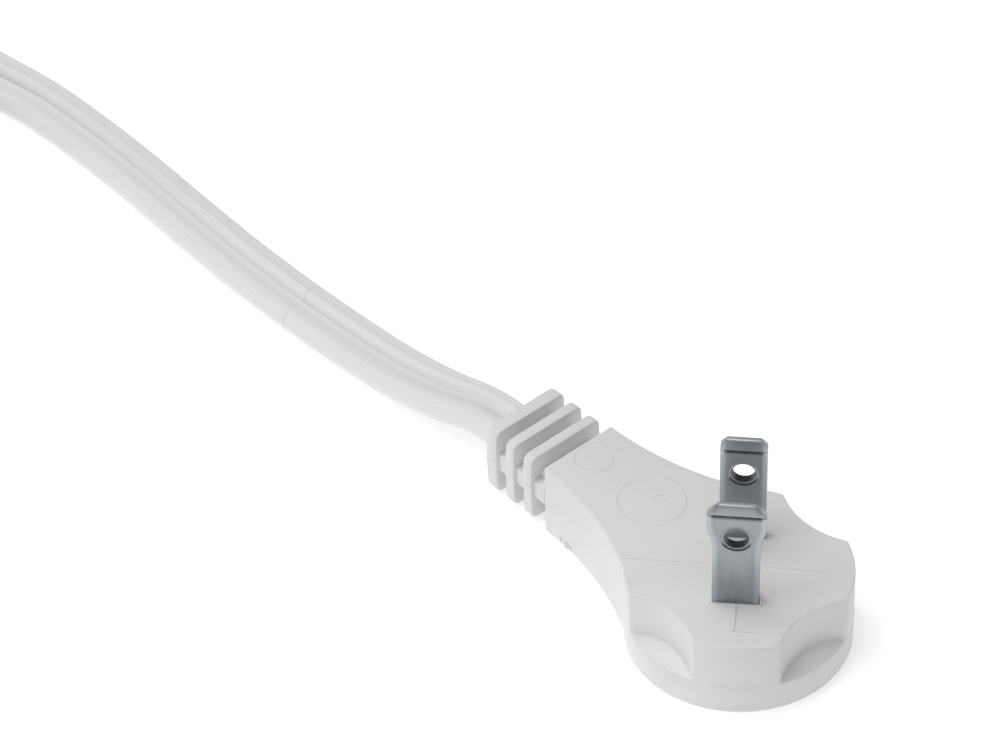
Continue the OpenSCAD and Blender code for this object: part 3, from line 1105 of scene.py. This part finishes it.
@dataclass
class FlatCord:
    """The two-conductor cord: ribbed on the neutral side, smooth on the other.

    Attributes:
        wire: one conductor's radius, with its insulation.
        web: half the thickness of the web between the conductors.
        ribs: how many ribs would go all the way round a conductor.
        rib_depth: half a rib's height.
        ribbed: how far the ribs reach each way from the outermost line, in degrees.
        meet: where a conductor's surface ends at the web, in degrees from that line.
        pitch: the distance between neighbouring turns of the hank.
        fold: the radius of the hank's tightest fold.
        middle: the middle of the hank's upper folds, along X.
        top: the middle of its upper folds, along Y.
        bottom: the middle of its lower folds, along Y.
        length: the cord's real length, in metres; not used.
        run: the points that it follows from the relief to the hank.
        run_rolls: its roll at each of them, in degrees.
        tail: the points that it follows from the hank to the tap.
        tail_rolls: its roll at each of them, in degrees.
    """

    wire: float = 2.05
    web: float = 1.12
    ribs: int = 30
    rib_depth: float = 0.085
    ribbed: float = 84.0
    meet: float = 145.0
    pitch: float = 4.2
    fold: float = 24.6
    middle: float = -161.0
    top: float = 84.0
    bottom: float = -40.0
    length: float = 1.83
    run: tuple[Point, ...] = (
        (-32.935, 29.655, 6), (-35.2, 31.7, 6), (-39, 34.9, 5.6),
        (-45.14, 38.84, 4.5), (-51.74, 43.8, 3.5), (-59.22, 50.03, 2.9), (-67.74, 57.03, 2.88),
        (-77.72, 65.91, 2.88), (-87.55, 75.41, 2.9), (-97.28, 85.11, 2.88), (-106.3, 93.46, 2.89),
        (-114.96, 100.62, 3), (-123.22, 105.93, 3.3), (-129.51, 110.02, 3.77),
        (-135.5, 114.6, 4.05), (-141.33, 118.02, 4.11),
    )
    run_rolls: tuple[float, ...] = (
        0, 0, -3, -12.9, -18.9, -21.9, -23.4, -23.3, -23.8, -23.3, -23.7, -26.9, -36.9, -55.9,
        -76, -90,
    )
    tail: tuple[Point, ...] = (
        (-138.5, -39.98, 4.1), (-138.5, -37.2, 4.15),
        (-139.3, -32.5, 4.3), (-141.4, -27.5, 4.8), (-144.6, -22.5, 5.6), (-148.5, -18.2, 6.4),
        (-152.9, -13.9, 7.3), (-156.9, -9.2, 8.1), (-159.8, -3.6, 8.8), (-161, 2.8, 9),
        (-161, 5.98, 9),
    )
    tail_rolls: tuple[float, ...] = (-90, -90, -88, -80, -66, -48, -29, -13, -4, 0, 0)

    def section(self) -> tuple[list[Flat], list[float]]:
        """Lays out the section; +X is the smooth conductor, and -X the ribbed one.

        Returns:
            The outline, and how deep in a valley each of its points is, from 0 to 1.
        """
        outline: list[Flat] = []
        valleys: list[float] = []

        def spaced(low: float, high: float, count: int) -> list[float]:
            return [low + (high - low) * (k + 0.5) / count for k in range(count)]

        plain = spaced(self.ribbed, self.meet, 9)
        for side in (1, -1):
            if side > 0:
                angles = spaced(-self.meet, self.meet, 30)
            else:
                ribbed = spaced(-self.ribbed, self.ribbed, 112)
                angles = [-a for a in reversed(plain)] + ribbed + plain
            for a in angles:
                x, y = math.cos(math.radians(a)), math.sin(math.radians(a))
                r, valley = self.wire, 0.0
                if side < 0 and abs(a) < self.ribbed:
                    valley = (1 - math.cos(self.ribs * math.radians(a))) / 2
                    r -= 2 * self.rib_depth * valley
                px, py = self.wire + r * x, r * y
                # Web points get a valley of 0.5, which the cord's material turns into painted shade
                # in the groove.
                if px < 1.0:
                    py, valley = math.copysign(max(abs(py), self.web), py), 0.5
                outline.append((side * px, side * py))
                valleys.append(valley)
        return outline, valleys

    def hank(self) -> Route:
        """Returns: the route of the hank's turns, from the run's end to the tail's start."""
        route = Route()
        z = 2 * self.wire
        step = 6

        def turn(x: float, y: float, r: float, start: float, end: float) -> None:
            flat = arc((x, y), r, start, end, max(4, round(abs(end - start) / step)))
            route.extend([Vector((px, py, z)) for px, py in flat], [-90.0] * len(flat))

        upper = [self.fold + self.pitch * (k + 0.5) for k in (3, 2, 1, 0)]
        lower = [self.fold + self.pitch * k for k in (3, 2, 1, 0)]
        for k in range(4):
            turn(self.middle, self.top, upper[k], 60 if k == 0 else 0, 180)
            turn(self.middle - self.pitch / 2, self.bottom, lower[k], 180, 360)
        return route

    def build(self, finishes: Finishes) -> tuple[bpy.types.Object, list[Point]]:
        """Builds the cord.

        Args:
            finishes: the finishes.

        Returns:
            The cord, and the points that it follows, in metres.
        """
        route = curved(self.run, self.run_rolls, 0.8)
        hank = self.hank()
        route.extend(hank.points, hank.rolls)
        tail = curved(self.tail, self.tail_rolls, 1.0)
        route.extend(tail.points, tail.rolls)
        log.info("the cord's route is %.1f mm long", route.length())
        section = ring_object("cord_section", *self.section())
        cord = grow(route.object("flat_cord"), sweep_tree(), section, finishes.cord)
        outward(cord)
        smooth(cord, 50)
        place(cord, ("cord_run", "cord_hank", "cord_tail"))
        return cord, [tuple(p * MM) for p in route.points]


# ---- Plug ----

SCALLOP_STEPS = 18
FLARE_STEPS = 16


@dataclass
class BladeForm:
    """One blade's sizes.

    Attributes:
        side: which conductor it belongs to.
        tip: the width of its tip.
        chamfer: how far its tip's corners are cut, across and down.
        strap: where its strap starts, along the plug.
    """

    side: Side
    tip: float
    chamfer: Flat
    strap: float


@dataclass
class Plug:
    """The plug: moulded body, two blades and the finned strain relief.

    Attributes:
        head: the round head's radius.
        height: the face's height.
        flange: the height of the flange under the finger scallops.
        scallop: a scallop's radius.
        scoop: how far a scallop's floor rises to its middle.
        reach: how near the head's middle a scallop comes.
        neck_end: where the neck ends, along the plug.
        neck_half: half the neck's width there.
        flare: the radius of the neck's flare.
        flare_turn: the angle through which the flare turns before the head, in degrees.
        blade_gap: the distance between the blades' middles.
        blade_width: a blade's width.
        blade_thick: its thickness.
        blade_length: how far it stands out of the face.
        hole: the radius of its hole.
        hole_height: how far above the face the hole is.
        foot: where the blade starts, inside the plug.
        fins: where each fin starts along the plug, and its thickness.
        fin_width: a fin's width.
        core: the width and height of the core between the fins.
    """

    head: float = 15.7
    height: float = 12.0
    flange: float = 4.6
    scallop: float = 12.6
    scoop: float = 1.1
    reach: float = 12.75
    neck_end: float = 32.4
    neck_half: float = 6.3
    flare: float = 47.5
    flare_turn: float = 27.5
    blade_gap: float = 12.7
    blade_width: float = 2 * BLADE_HALF
    blade_thick: float = 1.52
    blade_length: float = 17.7
    hole: float = 1.59
    hole_height: float = 12.0
    foot: float = 3.2
    fins: tuple[Flat, ...] = ((34.9, 1.7), (38.6, 1.7), (42.2, 2.1))
    fin_width: float = 13.2
    core: Flat = (9.4, 5.6)

    def build(self, finishes: Finishes) -> None:
        """Builds and places the body, blades and strain relief, and gives the plug's inner parts
        their finishes.

        Args:
            finishes: the finishes.
        """
        self.body(finishes)
        self.blade(BladeForm(Side.NEUTRAL, 7.94, (1.6, 1.85), -5.4), finishes)
        self.blade(BladeForm(Side.LINE, 6.35, (0.85, 1.1), 4.6), finishes)
        self.relief(finishes)
        dress(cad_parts["blade_carrier"], finishes.nylon)
        for side in ("neutral", "line"):
            dress(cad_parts[f"plug_{side}_lead"], finishes.vinyl)
            dress(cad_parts[f"plug_{side}_strands"], finishes.copper)

    def flare_line(self, side: int) -> list[Flat]:
        """Returns: the neck's side from its end to the head; side is 1 or -1."""
        points: list[Flat] = []
        for i in range(FLARE_STEPS + 1):
            t = math.radians(self.flare_turn * i / FLARE_STEPS)
            half = self.neck_half + self.flare * (1 - math.cos(t))
            points.append((self.neck_end - self.flare * math.sin(t), side * half))
        return points

    def outline(self) -> tuple[list[Flat], dict[int, list[Flat]]]:
        """Lays out the body's plan.

        Returns:
            The lower outline, and for each index where a scallop starts, the scallop's inner
            points; its outer points follow that index.
        """
        centre = self.reach + self.scallop

        def corner(near: float, far: float) -> float:
            """The angle between near and the line of centres, opposite far, in degrees."""
            cosine = (near**2 + centre**2 - far**2) / (2 * near * centre)
            return math.degrees(math.acos(cosine))

        inner, spread = corner(self.head, self.scallop), corner(self.scallop, self.head)
        points = self.flare_line(1)
        now = begin = math.degrees(math.atan2(points[-1][1], points[-1][0]))
        scallops: dict[int, list[Flat]] = {}
        for middle in (90, 180, 270):
            start, end = middle - inner, middle + inner
            points += arc((0, 0), self.head, now, start, max(3, round((start - now) / 3)))[1:]
            at = math.radians(middle)
            hollow = arc(
                (centre * math.cos(at), centre * math.sin(at)), self.scallop,
                middle + 180 + spread, middle + 180 - spread, SCALLOP_STEPS,
            )
            scallops[len(points) - 1] = hollow[1:-1]
            points += arc((0, 0), self.head, start, end, SCALLOP_STEPS)[1:]
            now = end
        points += arc((0, 0), self.head, now, 360 - begin, 4)[1:-1]
        points += self.flare_line(-1)[::-1]
        return points, scallops

    def body(self, finishes: Finishes) -> None:
        """Builds the moulded body with its raised marks.

        Args:
            finishes: the finishes.
        """
        low, scallops = self.outline()
        n = len(low)
        shape = Shape(Way.PLUG)
        points: list[Point] = [(x, y, 0.0) for x, y in low] + [(x, y, self.flange) for x, y in low]
        faces: list[tuple[int, ...]] = [tuple(range(n))[::-1]]
        faces += [(i, (i + 1) % n, n + (i + 1) % n, n + i) for i in range(n)]
        top: list[int] = []
        i = 0
        while i < n:
            top.append(len(points))
            points.append((*low[i], self.height))
            if i in scallops:
                hollow, last = scallops[i], SCALLOP_STEPS
                count = len(hollow)
                arch = [math.sin(math.pi * (k + 1) / (count + 1)) for k in range(count)]
                foot = list(range(len(points), len(points) + count))
                crest = list(range(len(points) + count, len(points) + 2 * count))
                points += [(x, y, self.flange + self.scoop * a) for (x, y), a in zip(hollow, arch)]
                points += [(x, y, self.height) for x, y in hollow]
                edge = [n + i + k for k in range(last + 1)]
                feet, tops = [edge[0], *foot, edge[-1]], [top[-1], *crest, len(points)]
                faces += [(edge[k], edge[k + 1], feet[k + 1], feet[k]) for k in range(1, last - 1)]
                faces += [(edge[0], edge[1], feet[1]), (edge[-2], edge[-1], feet[-2])]
                faces += [(feet[k], feet[k + 1], tops[k + 1], tops[k]) for k in range(last)]
                top += crest
                i += last
                continue
            j = (i + 1) % n
            ahead = top[0] if j == 0 else len(points)
            faces.append((n + i, n + j, ahead, top[-1]))
            i += 1
        faces.append(tuple(top))
        shape.add(points, faces)
        body = shape.make("moulded_body")
        outward(body)
        soften(body, 0.5, 3, 38)
        smooth(body, 40)
        join(body, self.marks())
        dress(body, finishes.vinyl)
        place(body, ("plug_body",))

    def marks(self) -> bpy.types.Object:
        """Returns: the thin raised marks on the face: two rings, witness lines and blade rims."""
        shape = Shape(Way.WORLD)
        z = self.height
        turn = Way.PLUG.matrix()
        for u, r in ((29.3, 2.7), (17.5, 4.75)):
            ring = [turn @ Vector((u + x, y, 0)) for x, y in arc((0, 0), r, 0, 360, 48)[:-1]]
            self.ridge(shape, [(p.x, p.y) for p in ring], 0.62, 0.06, z, True)
        lines = (
            ([(-15.3, 0.25), (-10, 0.2), (-5.2, 0.25)], 0.16, 0.05),
            ([(3.6, 0.3), (9, 0.15), (15.2, 0.1)], 0.14, 0.05),
            ([(0.0, -7.3), (0.15, -10), (0.1, -12.4)], 0.5, 0.16),
            ([(-0.8, -12.4), (2.5, -12.3), (5.4, -12.5)], 0.16, 0.06),
            ([(3.4, -7.3), (3.42, -6.3), (3.46, -5.5)], 0.3, 1.1),
        )
        for line, width, rise in lines:
            self.ridge(shape, line, width, rise, z)
        for y in (-self.blade_gap / 2, self.blade_gap / 2):
            w, t = self.blade_width / 2 + 0.28, self.blade_thick / 2 + 0.24
            shape.box((-w, y - t, z - 0.1), (w, y + t, z + 0.05))
        self.parting(shape)
        for u, v, r in ((29.0, 6.4, 0.26), (27.6, 6.52, 0.4), (26.8, 6.6, 0.24)):
            at = turn @ Vector((u, v, 0))
            shape.tube([(at.x, at.y, 0.75 - r), (at.x, at.y, 0.75 + r)], r, 0, 8)
        for x, y in ((-12.9, 12.6), (-12.1, 13.1), (-11.2, 12.3)):
            shape.tube([(x, y, z - 0.05), (x, y, z + 0.07)], 0.28, 0, 10)
        marks = shape.make("marks")
        outward(marks)
        return marks

    def parting(self, shape: Shape) -> None:
        """Adds the thin flash line round the head at the flange's upper edge.

        Args:
            shape: the shape it is added to.
        """
        turn = Way.PLUG.matrix()
        for first, last in ((122, 148), (212, 238)):
            line = [turn @ Vector((x, y, 0)) for x, y in arc((0, 0), self.head, first, last, 14)]
            points: list[Point] = []
            for p in line:
                for out, z in ((-0.1, 4.3), (0.04, 4.46), (0.06, 4.6), (-0.1, 5.1)):
                    share = 1 + out / self.head
                    points.append((p.x * share, p.y * share, z))
            shape.add(points, bar_faces(len(line), 4))

    @staticmethod
    def ridge(
        shape: Shape,
        line: Sequence[Flat],
        width: float,
        rise: float,
        base: float,
        closed: bool = False,
    ) -> None:
        """Adds a thin raised line.

        Args:
            shape: the shape it is added to.
            line: the points it follows.
            width: its width at the foot.
            rise: its height.
            base: the height of the surface it stands on.
            closed: whether its end joins its start.
        """
        n = len(line)
        points: list[Point] = []
        for i in range(n):
            before = line[i - 1] if closed or i else line[0]
            after = line[(i + 1) % n] if closed or i < n - 1 else line[-1]
            ahead = Vector((after[0] - before[0], after[1] - before[1])).normalized()
            x, y = line[i]
            for side, z in ((-1, -0.02), (-0.3, rise), (0.3, rise), (1, -0.02)):
                away = side * width / 2
                points.append((x - ahead.y * away, y + ahead.x * away, base + z))
        shape.add(points, bar_faces(n, 4, closed))

    def blade(self, form: BladeForm, finishes: Finishes) -> None:
        """Builds a blade: the plate with its hole, tip bevels and coined ring, and its crimp.

        Args:
            form: the blade's sizes.
            finishes: the finishes.
        """
        top = self.height + self.blade_length
        w, t, thick = self.blade_width / 2, form.tip / 2, self.blade_thick / 2
        turns = [k / 10 for k in range(11)] if t > w else []
        start = top - FLARE_STARTS
        flare = [(w + (t - w) * (3 * k**2 - 2 * k**3), start + 3.25 * k) for k in turns]
        cut, shoulder = form.chamfer
        tip = [(t, top - shoulder), (t - cut, top)]
        right = [(w, self.foot), (w, self.height - 0.5), *flare, *tip]
        corners = right + [(-x, z) for x, z in reversed(right)]
        middle = (0.0, self.height + self.hole_height)
        rim: list[Flat] = []
        for (x0, z0), (x1, z1) in zip(corners, corners[1:] + corners[:1]):
            steps = max(1, round(math.dist((x0, z0), (x1, z1)) / 1.1))
            rim += [(x0 + (x1 - x0) * k / steps, z0 + (z1 - z0) * k / steps) for k in range(steps)]
        rim.sort(key=lambda p: math.atan2(p[1] - middle[1], p[0] - middle[0]))
        angles = [math.atan2(z - middle[1], x - middle[0]) for x, z in rim]
        n = len(rim)
        y = -form.side.value * self.blade_gap / 2
        dish = ((0, -0.2), (0.12, -0.05), (0.24, 0), (0.34, -0.1), (0.48, -0.1), (0.58, 0))
        rings = [(self.hole + away, thick + depth) for away, depth in dish]
        inner = []
        for x, z in rim:
            inset = min(abs(x), 0.75) if abs(x) > w - 0.8 else 0
            inner.append((x - math.copysign(inset, x), z - (0.7 if z > top - 0.05 else 0)))
        points: list[Point] = []
        for face in (-1, 1):
            for r, depth in rings:
                for a in angles:
                    points.append((r * math.cos(a), y + face * depth, middle[1] + r * math.sin(a)))
            points += [(x, y + face * thick, z) for x, z in inner]
            points += [(x, y + face * (thick - 0.06), z) for x, z in rim]
        layers = len(rings) + 2
        half = layers * n
        faces: list[tuple[int, ...]] = []
        for i in range(n):
            j = (i + 1) % n
            for k in range(layers - 1):
                a, b = k * n, (k + 1) * n
                faces.append((a + i, b + i, b + j, a + j))
                faces.append((half + a + i, half + a + j, half + b + j, half + b + i))
            faces.append((i, j, half + j, half + i))
            faces.append((half - n + i, 2 * half - n + i, 2 * half - n + j, half - n + j))
        plate = Shape()
        plate.add(points, faces)
        name = f"{form.side.name.lower()}_blade_plate"
        blade = plate.make(name)
        self.taper(blade, y, top)
        outward(blade)
        soften(blade, 0.11, 2, 40)
        smooth(blade, 30)
        join(blade, self.crimp(form))
        dress(blade, finishes.blades[form.side])
        place(blade, (f"{form.side.name.lower()}_blade",))

    def taper(self, blade: bpy.types.Object, y: float, top: float) -> None:
        """Thins a blade's tip with a bevel on both faces.

        Args:
            blade: the blade.
            y: the middle of its thickness.
            top: its tip's height.
        """
        crease, tiny = (top - TIP_BEVEL) * MM, 1e-7
        with editing(blade) as mesh:
            for height in (crease, crease - 0.16 * MM, crease - 0.34 * MM):
                bmesh.ops.bisect_plane(
                    mesh, geom=[*mesh.verts, *mesh.edges, *mesh.faces], dist=tiny,
                    plane_co=(0, 0, height), plane_no=(0, 0, 1),
                )
            for v in mesh.verts:
                if v.co.z > crease + tiny:
                    share = (v.co.z - crease) / (TIP_BEVEL * MM)
                    v.co.y = y * MM + (v.co.y - y * MM) * (1 - 0.5 * share)
                elif abs(v.co.z - crease + 0.16 * MM) < tiny:
                    v.co.y -= math.copysign(0.1 * MM, v.co.y - y * MM)

    def crimp(self, form: BladeForm) -> bpy.types.Object:
        """Returns: the strap and the crimp barrel inside the plug."""
        side = form.side.value
        shape = Shape(Way.PLUG)
        v, z = side * 3.4, self.height / 2 + side * 2.05
        low = min(self.foot + 0.2, z - 1.2)
        shape.box((form.strap, v - 1.2, self.foot + 0.2), (10.9, v + 1.2, self.foot + 1.2))
        shape.box((10.6, v - 1.2, low), (11.8, v + 1.2, z + 1.2))
        shape.tube([(11.5, v, z), (13, v, z), (16, v, z), (17.4, v, z)], 1.9, 1.3, 32)
        crimp = shape.make("crimp")
        outward(crimp)
        return crimp

    def relief(self, finishes: Finishes) -> None:
        """Builds the strain relief: a core with blocks, and fins repeated along it.

        Args:
            finishes: the finishes.
        """
        w, h = self.core
        z = self.height / 2
        core = Shape(Way.PLUG)
        core.box((28.3, -w / 2, z - h / 2), (43.2, w / 2, z + h / 2))
        core.box((29.4, -5.8, z - 4.2), (31.2, 5.8, z + 4.2))
        for low, high in ((32.6, 35.2), (36.3, 38.9), (40.0, 42.5)):
            core.box((low, -6.05, z - 1.5), (high, 6.05, z + 1.6))
        relief = core.make("finned_relief")
        outward(relief)
        soften(relief, 0.3, 2, 40)
        smooth(relief, 40)
        dress(relief, finishes.vinyl)
        matrix = Way.PLUG.matrix()
        places = []
        for start, thick in self.fins:
            at = matrix @ Vector((start + thick / 2, 0, z))
            places.append((tuple(at), (0.0, 0.0, PLUG_TURN), (thick / 2, 1.0, 1.0)))
        fins = grow(points_piece("fins", places), repeat_tree(), self.fin(), finishes.vinyl)
        join(relief, fins)
        smooth(relief, 40)
        place(relief, ("strain_relief",))

    def fin(self) -> bpy.types.Object:
        """Returns: one fin, 2 mm thick along X, with a crowned rim and rounded corners."""
        half, tall, r = self.fin_width / 2, self.height / 2, 0.95
        outline: list[Flat] = []
        for cx, cz, start in ((1, 1, 0), (-1, 1, 90), (-1, -1, 180), (1, -1, 270)):
            outline += arc((cx * (half - r), cz * (tall - r)), r, start, start + 90, 8)
            if cx * cz < 0:
                flash = ((half, -0.16), (half + 0.1, 0.0), (half, 0.16))
                outline += [(cx * y, cx * z) for y, z in flash]
        outline = [
            (y * (1 - 0.035 * (z / tall) ** 2), z * (1 - 0.085 * (y / half) ** 2))
            for y, z in outline
        ]
        rings = ((-1.0, 0.24), (-0.93, 0.07), (-0.75, 0.0), (0.75, 0.0), (0.93, 0.07), (1.0, 0.24))
        points = [
            (x, y * (1 - inset / half), z * (1 - inset / tall))
            for x, inset in rings
            for y, z in outline
        ]
        shape = Shape()
        shape.add(points, bar_faces(len(rings), len(outline)))
        fin = shape.make("fin")
        outward(fin)
        return smooth(fin, 50)


# ---- Hank ties ----


@dataclass
class TwistTie:
    """A plastic-coated tie: a band round the turns with a twisted tail.

    Attributes:
        name: its name.
        node: the CAD node it stands for.
        low: the side of the bundle nearer -X.
        high: the side nearer +X.
        y: the middle of the band.
        thick: the band's thickness.
        wide: its width.
        strand: the radius of each of the two twisted strands.
        tail: how long the twisted tail is.
    """

    name: str
    node: str
    low: float
    high: float
    y: float = 26.0
    thick: float = 0.62
    wide: float = 2.8
    strand: float = 0.42
    tail: float = 12.6

    def build(self, finishes: Finishes) -> None:
        """Builds the tie.

        Args:
            finishes: the finishes.
        """
        t = self.thick / 2
        x0, x1, z0, z1 = self.low - t, self.high + t, t + 0.04, 8.2 + t + 0.02
        loop: list[Flat] = []
        for cx, cz, start in (
            (x1 - 1, z1 - 1, 0), (x0 + 1, z1 - 1, 90), (x0 + 1, z0 + 1, 180), (x1 - 1, z0 + 1, 270)
        ):
            loop += arc((cx, cz), 1, start, start + 90, 6)
        shape = Shape()
        n = len(loop)
        middle = ((x0 + x1) / 2, (z0 + z1) / 2)
        section = ((1, -1), (1, -0.25), (1.35, 0), (1, 0.25), (1, 1), (-1, 1), (-1, -1))
        points: list[Point] = []
        for i, (x, z) in enumerate(loop):
            before, after = loop[i - 1], loop[(i + 1) % n]
            ahead = Vector((after[0] - before[0], after[1] - before[1])).normalized()
            nx, nz = ahead.y, -ahead.x
            if nx * (x - middle[0]) + nz * (z - middle[1]) < 0:
                nx, nz = -nx, -nz
            for s, along in section:
                points.append((x + nx * t * s, self.y + along * self.wide / 2, z + nz * t * s))
        shape.add(points, bar_faces(n, len(section), True))
        r, steps, height = self.strand, 60, 9.75
        for phase in (0.0, math.pi):
            route = []
            for k in range(steps + 1):
                a = phase + k * math.pi / 10
                y = self.y + k * self.tail / steps
                route.append((middle[0] + r * math.cos(a), y, height + r * math.sin(a)))
            shape.tube(route, r, 0, 10)
        tie = shape.make(self.name)
        outward(tie)
        smooth(tie, 45)
        dress(tie, finishes.tie)
        place(tie, (self.node,))


# ---- Outlet tap ----


@dataclass
class OutletTap:
    """The slim tap: two shells, three twist covers, its contacts and its sleeve.

    Attributes:
        pitch: the distance between neighbouring outlets.
        top: its height.
        grip: how far from a cover's middle its finger ridges are.
        grip_step: the angle between them, in degrees.
    """

    pitch: float = 21.5
    top: float = 22.0
    grip: float = 8.35
    grip_step: float = 11.0

    def build(self, finishes: Finishes) -> list[bpy.types.Object]:
        """Builds and places the shells, sleeve and covers, and gives the tap's inner parts their
        finishes.

        Args:
            finishes: the finishes.

        Returns:
            The pieces it built, and the inner parts it gave finishes to.
        """
        made: list[bpy.types.Object] = []
        for node, name, width in (
            ("tap_base", "lower_shell", 0.7),
            ("tap_top", "upper_shell", 0.6),
            ("tap_strain_relief", "grooved_sleeve", 0.3),
        ):
            piece = rounded_copy(node, name, width, 3)
            dress(piece, finishes.shell)
            place(piece, (node,))
            made.append(piece)
        for i in (1, 2, 3):
            made.append(self.twist_cover(i, finishes))
        inner = {
            "neutral_bus": finishes.brass, "line_bus": finishes.brass, "tap_screws": finishes.zinc,
            "tap_neutral_lead": finishes.vinyl, "tap_line_lead": finishes.vinyl,
            "tap_neutral_strands": finishes.copper, "tap_line_strands": finishes.copper,
        }
        for node, material in inner.items():
            dress(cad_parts[node], material)
            made.append(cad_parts[node])
        return made

    def twist_cover(self, index: int, finishes: Finishes) -> bpy.types.Object:
        """Builds one twist-to-close cover with finger ridges repeated round its rim.

        Args:
            index: which outlet it covers, from 1 to 3.
            finishes: the finishes.

        Returns:
            The cover.
        """
        node = f"outlet_cover_{index}"
        piece = rounded_copy(node, f"twist_cover_{index}", 0.25, 2)
        matrix = Way.TAP.matrix()
        places = []
        for k in range(-3, 4):
            for side in (0, 180):
                turn = side + self.grip_step * k
                a = math.radians(turn)
                x = (index - 2) * self.pitch + self.grip * math.cos(a)
                at = matrix @ Vector((x, self.grip * math.sin(a), self.top))
                places.append((tuple(at), (0.0, 0.0, TAP_TURN + turn), (1.0, 1.0, 1.0)))
        ridge = Shape()
        ridge.prism([(-0.7, -0.28), (0.7, -0.28), (0.7, 0.28), (-0.7, 0.28)], -0.2, 0.3)
        master = ridge.make("finger_ridge")
        soften(master, 0.12, 2, 40)
        points = points_piece("finger_ridges", places)
        ridges = grow(points, repeat_tree(), master, finishes.cover)
        dress(piece, finishes.cover)
        join(piece, ridges)
        smooth(piece, 40)
        place(piece, (node,), f"cover_{index}")
        return piece


def main() -> None:
    """Builds the whole scene in order."""
    logging.basicConfig(level=logging.INFO, format="%(name)s: %(message)s")
    Studio().build()
    finishes = Finishes()
    cord = FlatCord()
    piece, path = cord.build(finishes)
    Plug().build(finishes)
    ties = [
        TwistTie("tie_west", "cord_tie_west", -202.4, -185.6),
        TwistTie("tie_east", "cord_tie_east", -136.4, -123.8),
    ]
    for tie in ties:
        tie.build(finishes)
    tap = OutletTap().build(finishes)


if __name__ == "__main__":
    main()
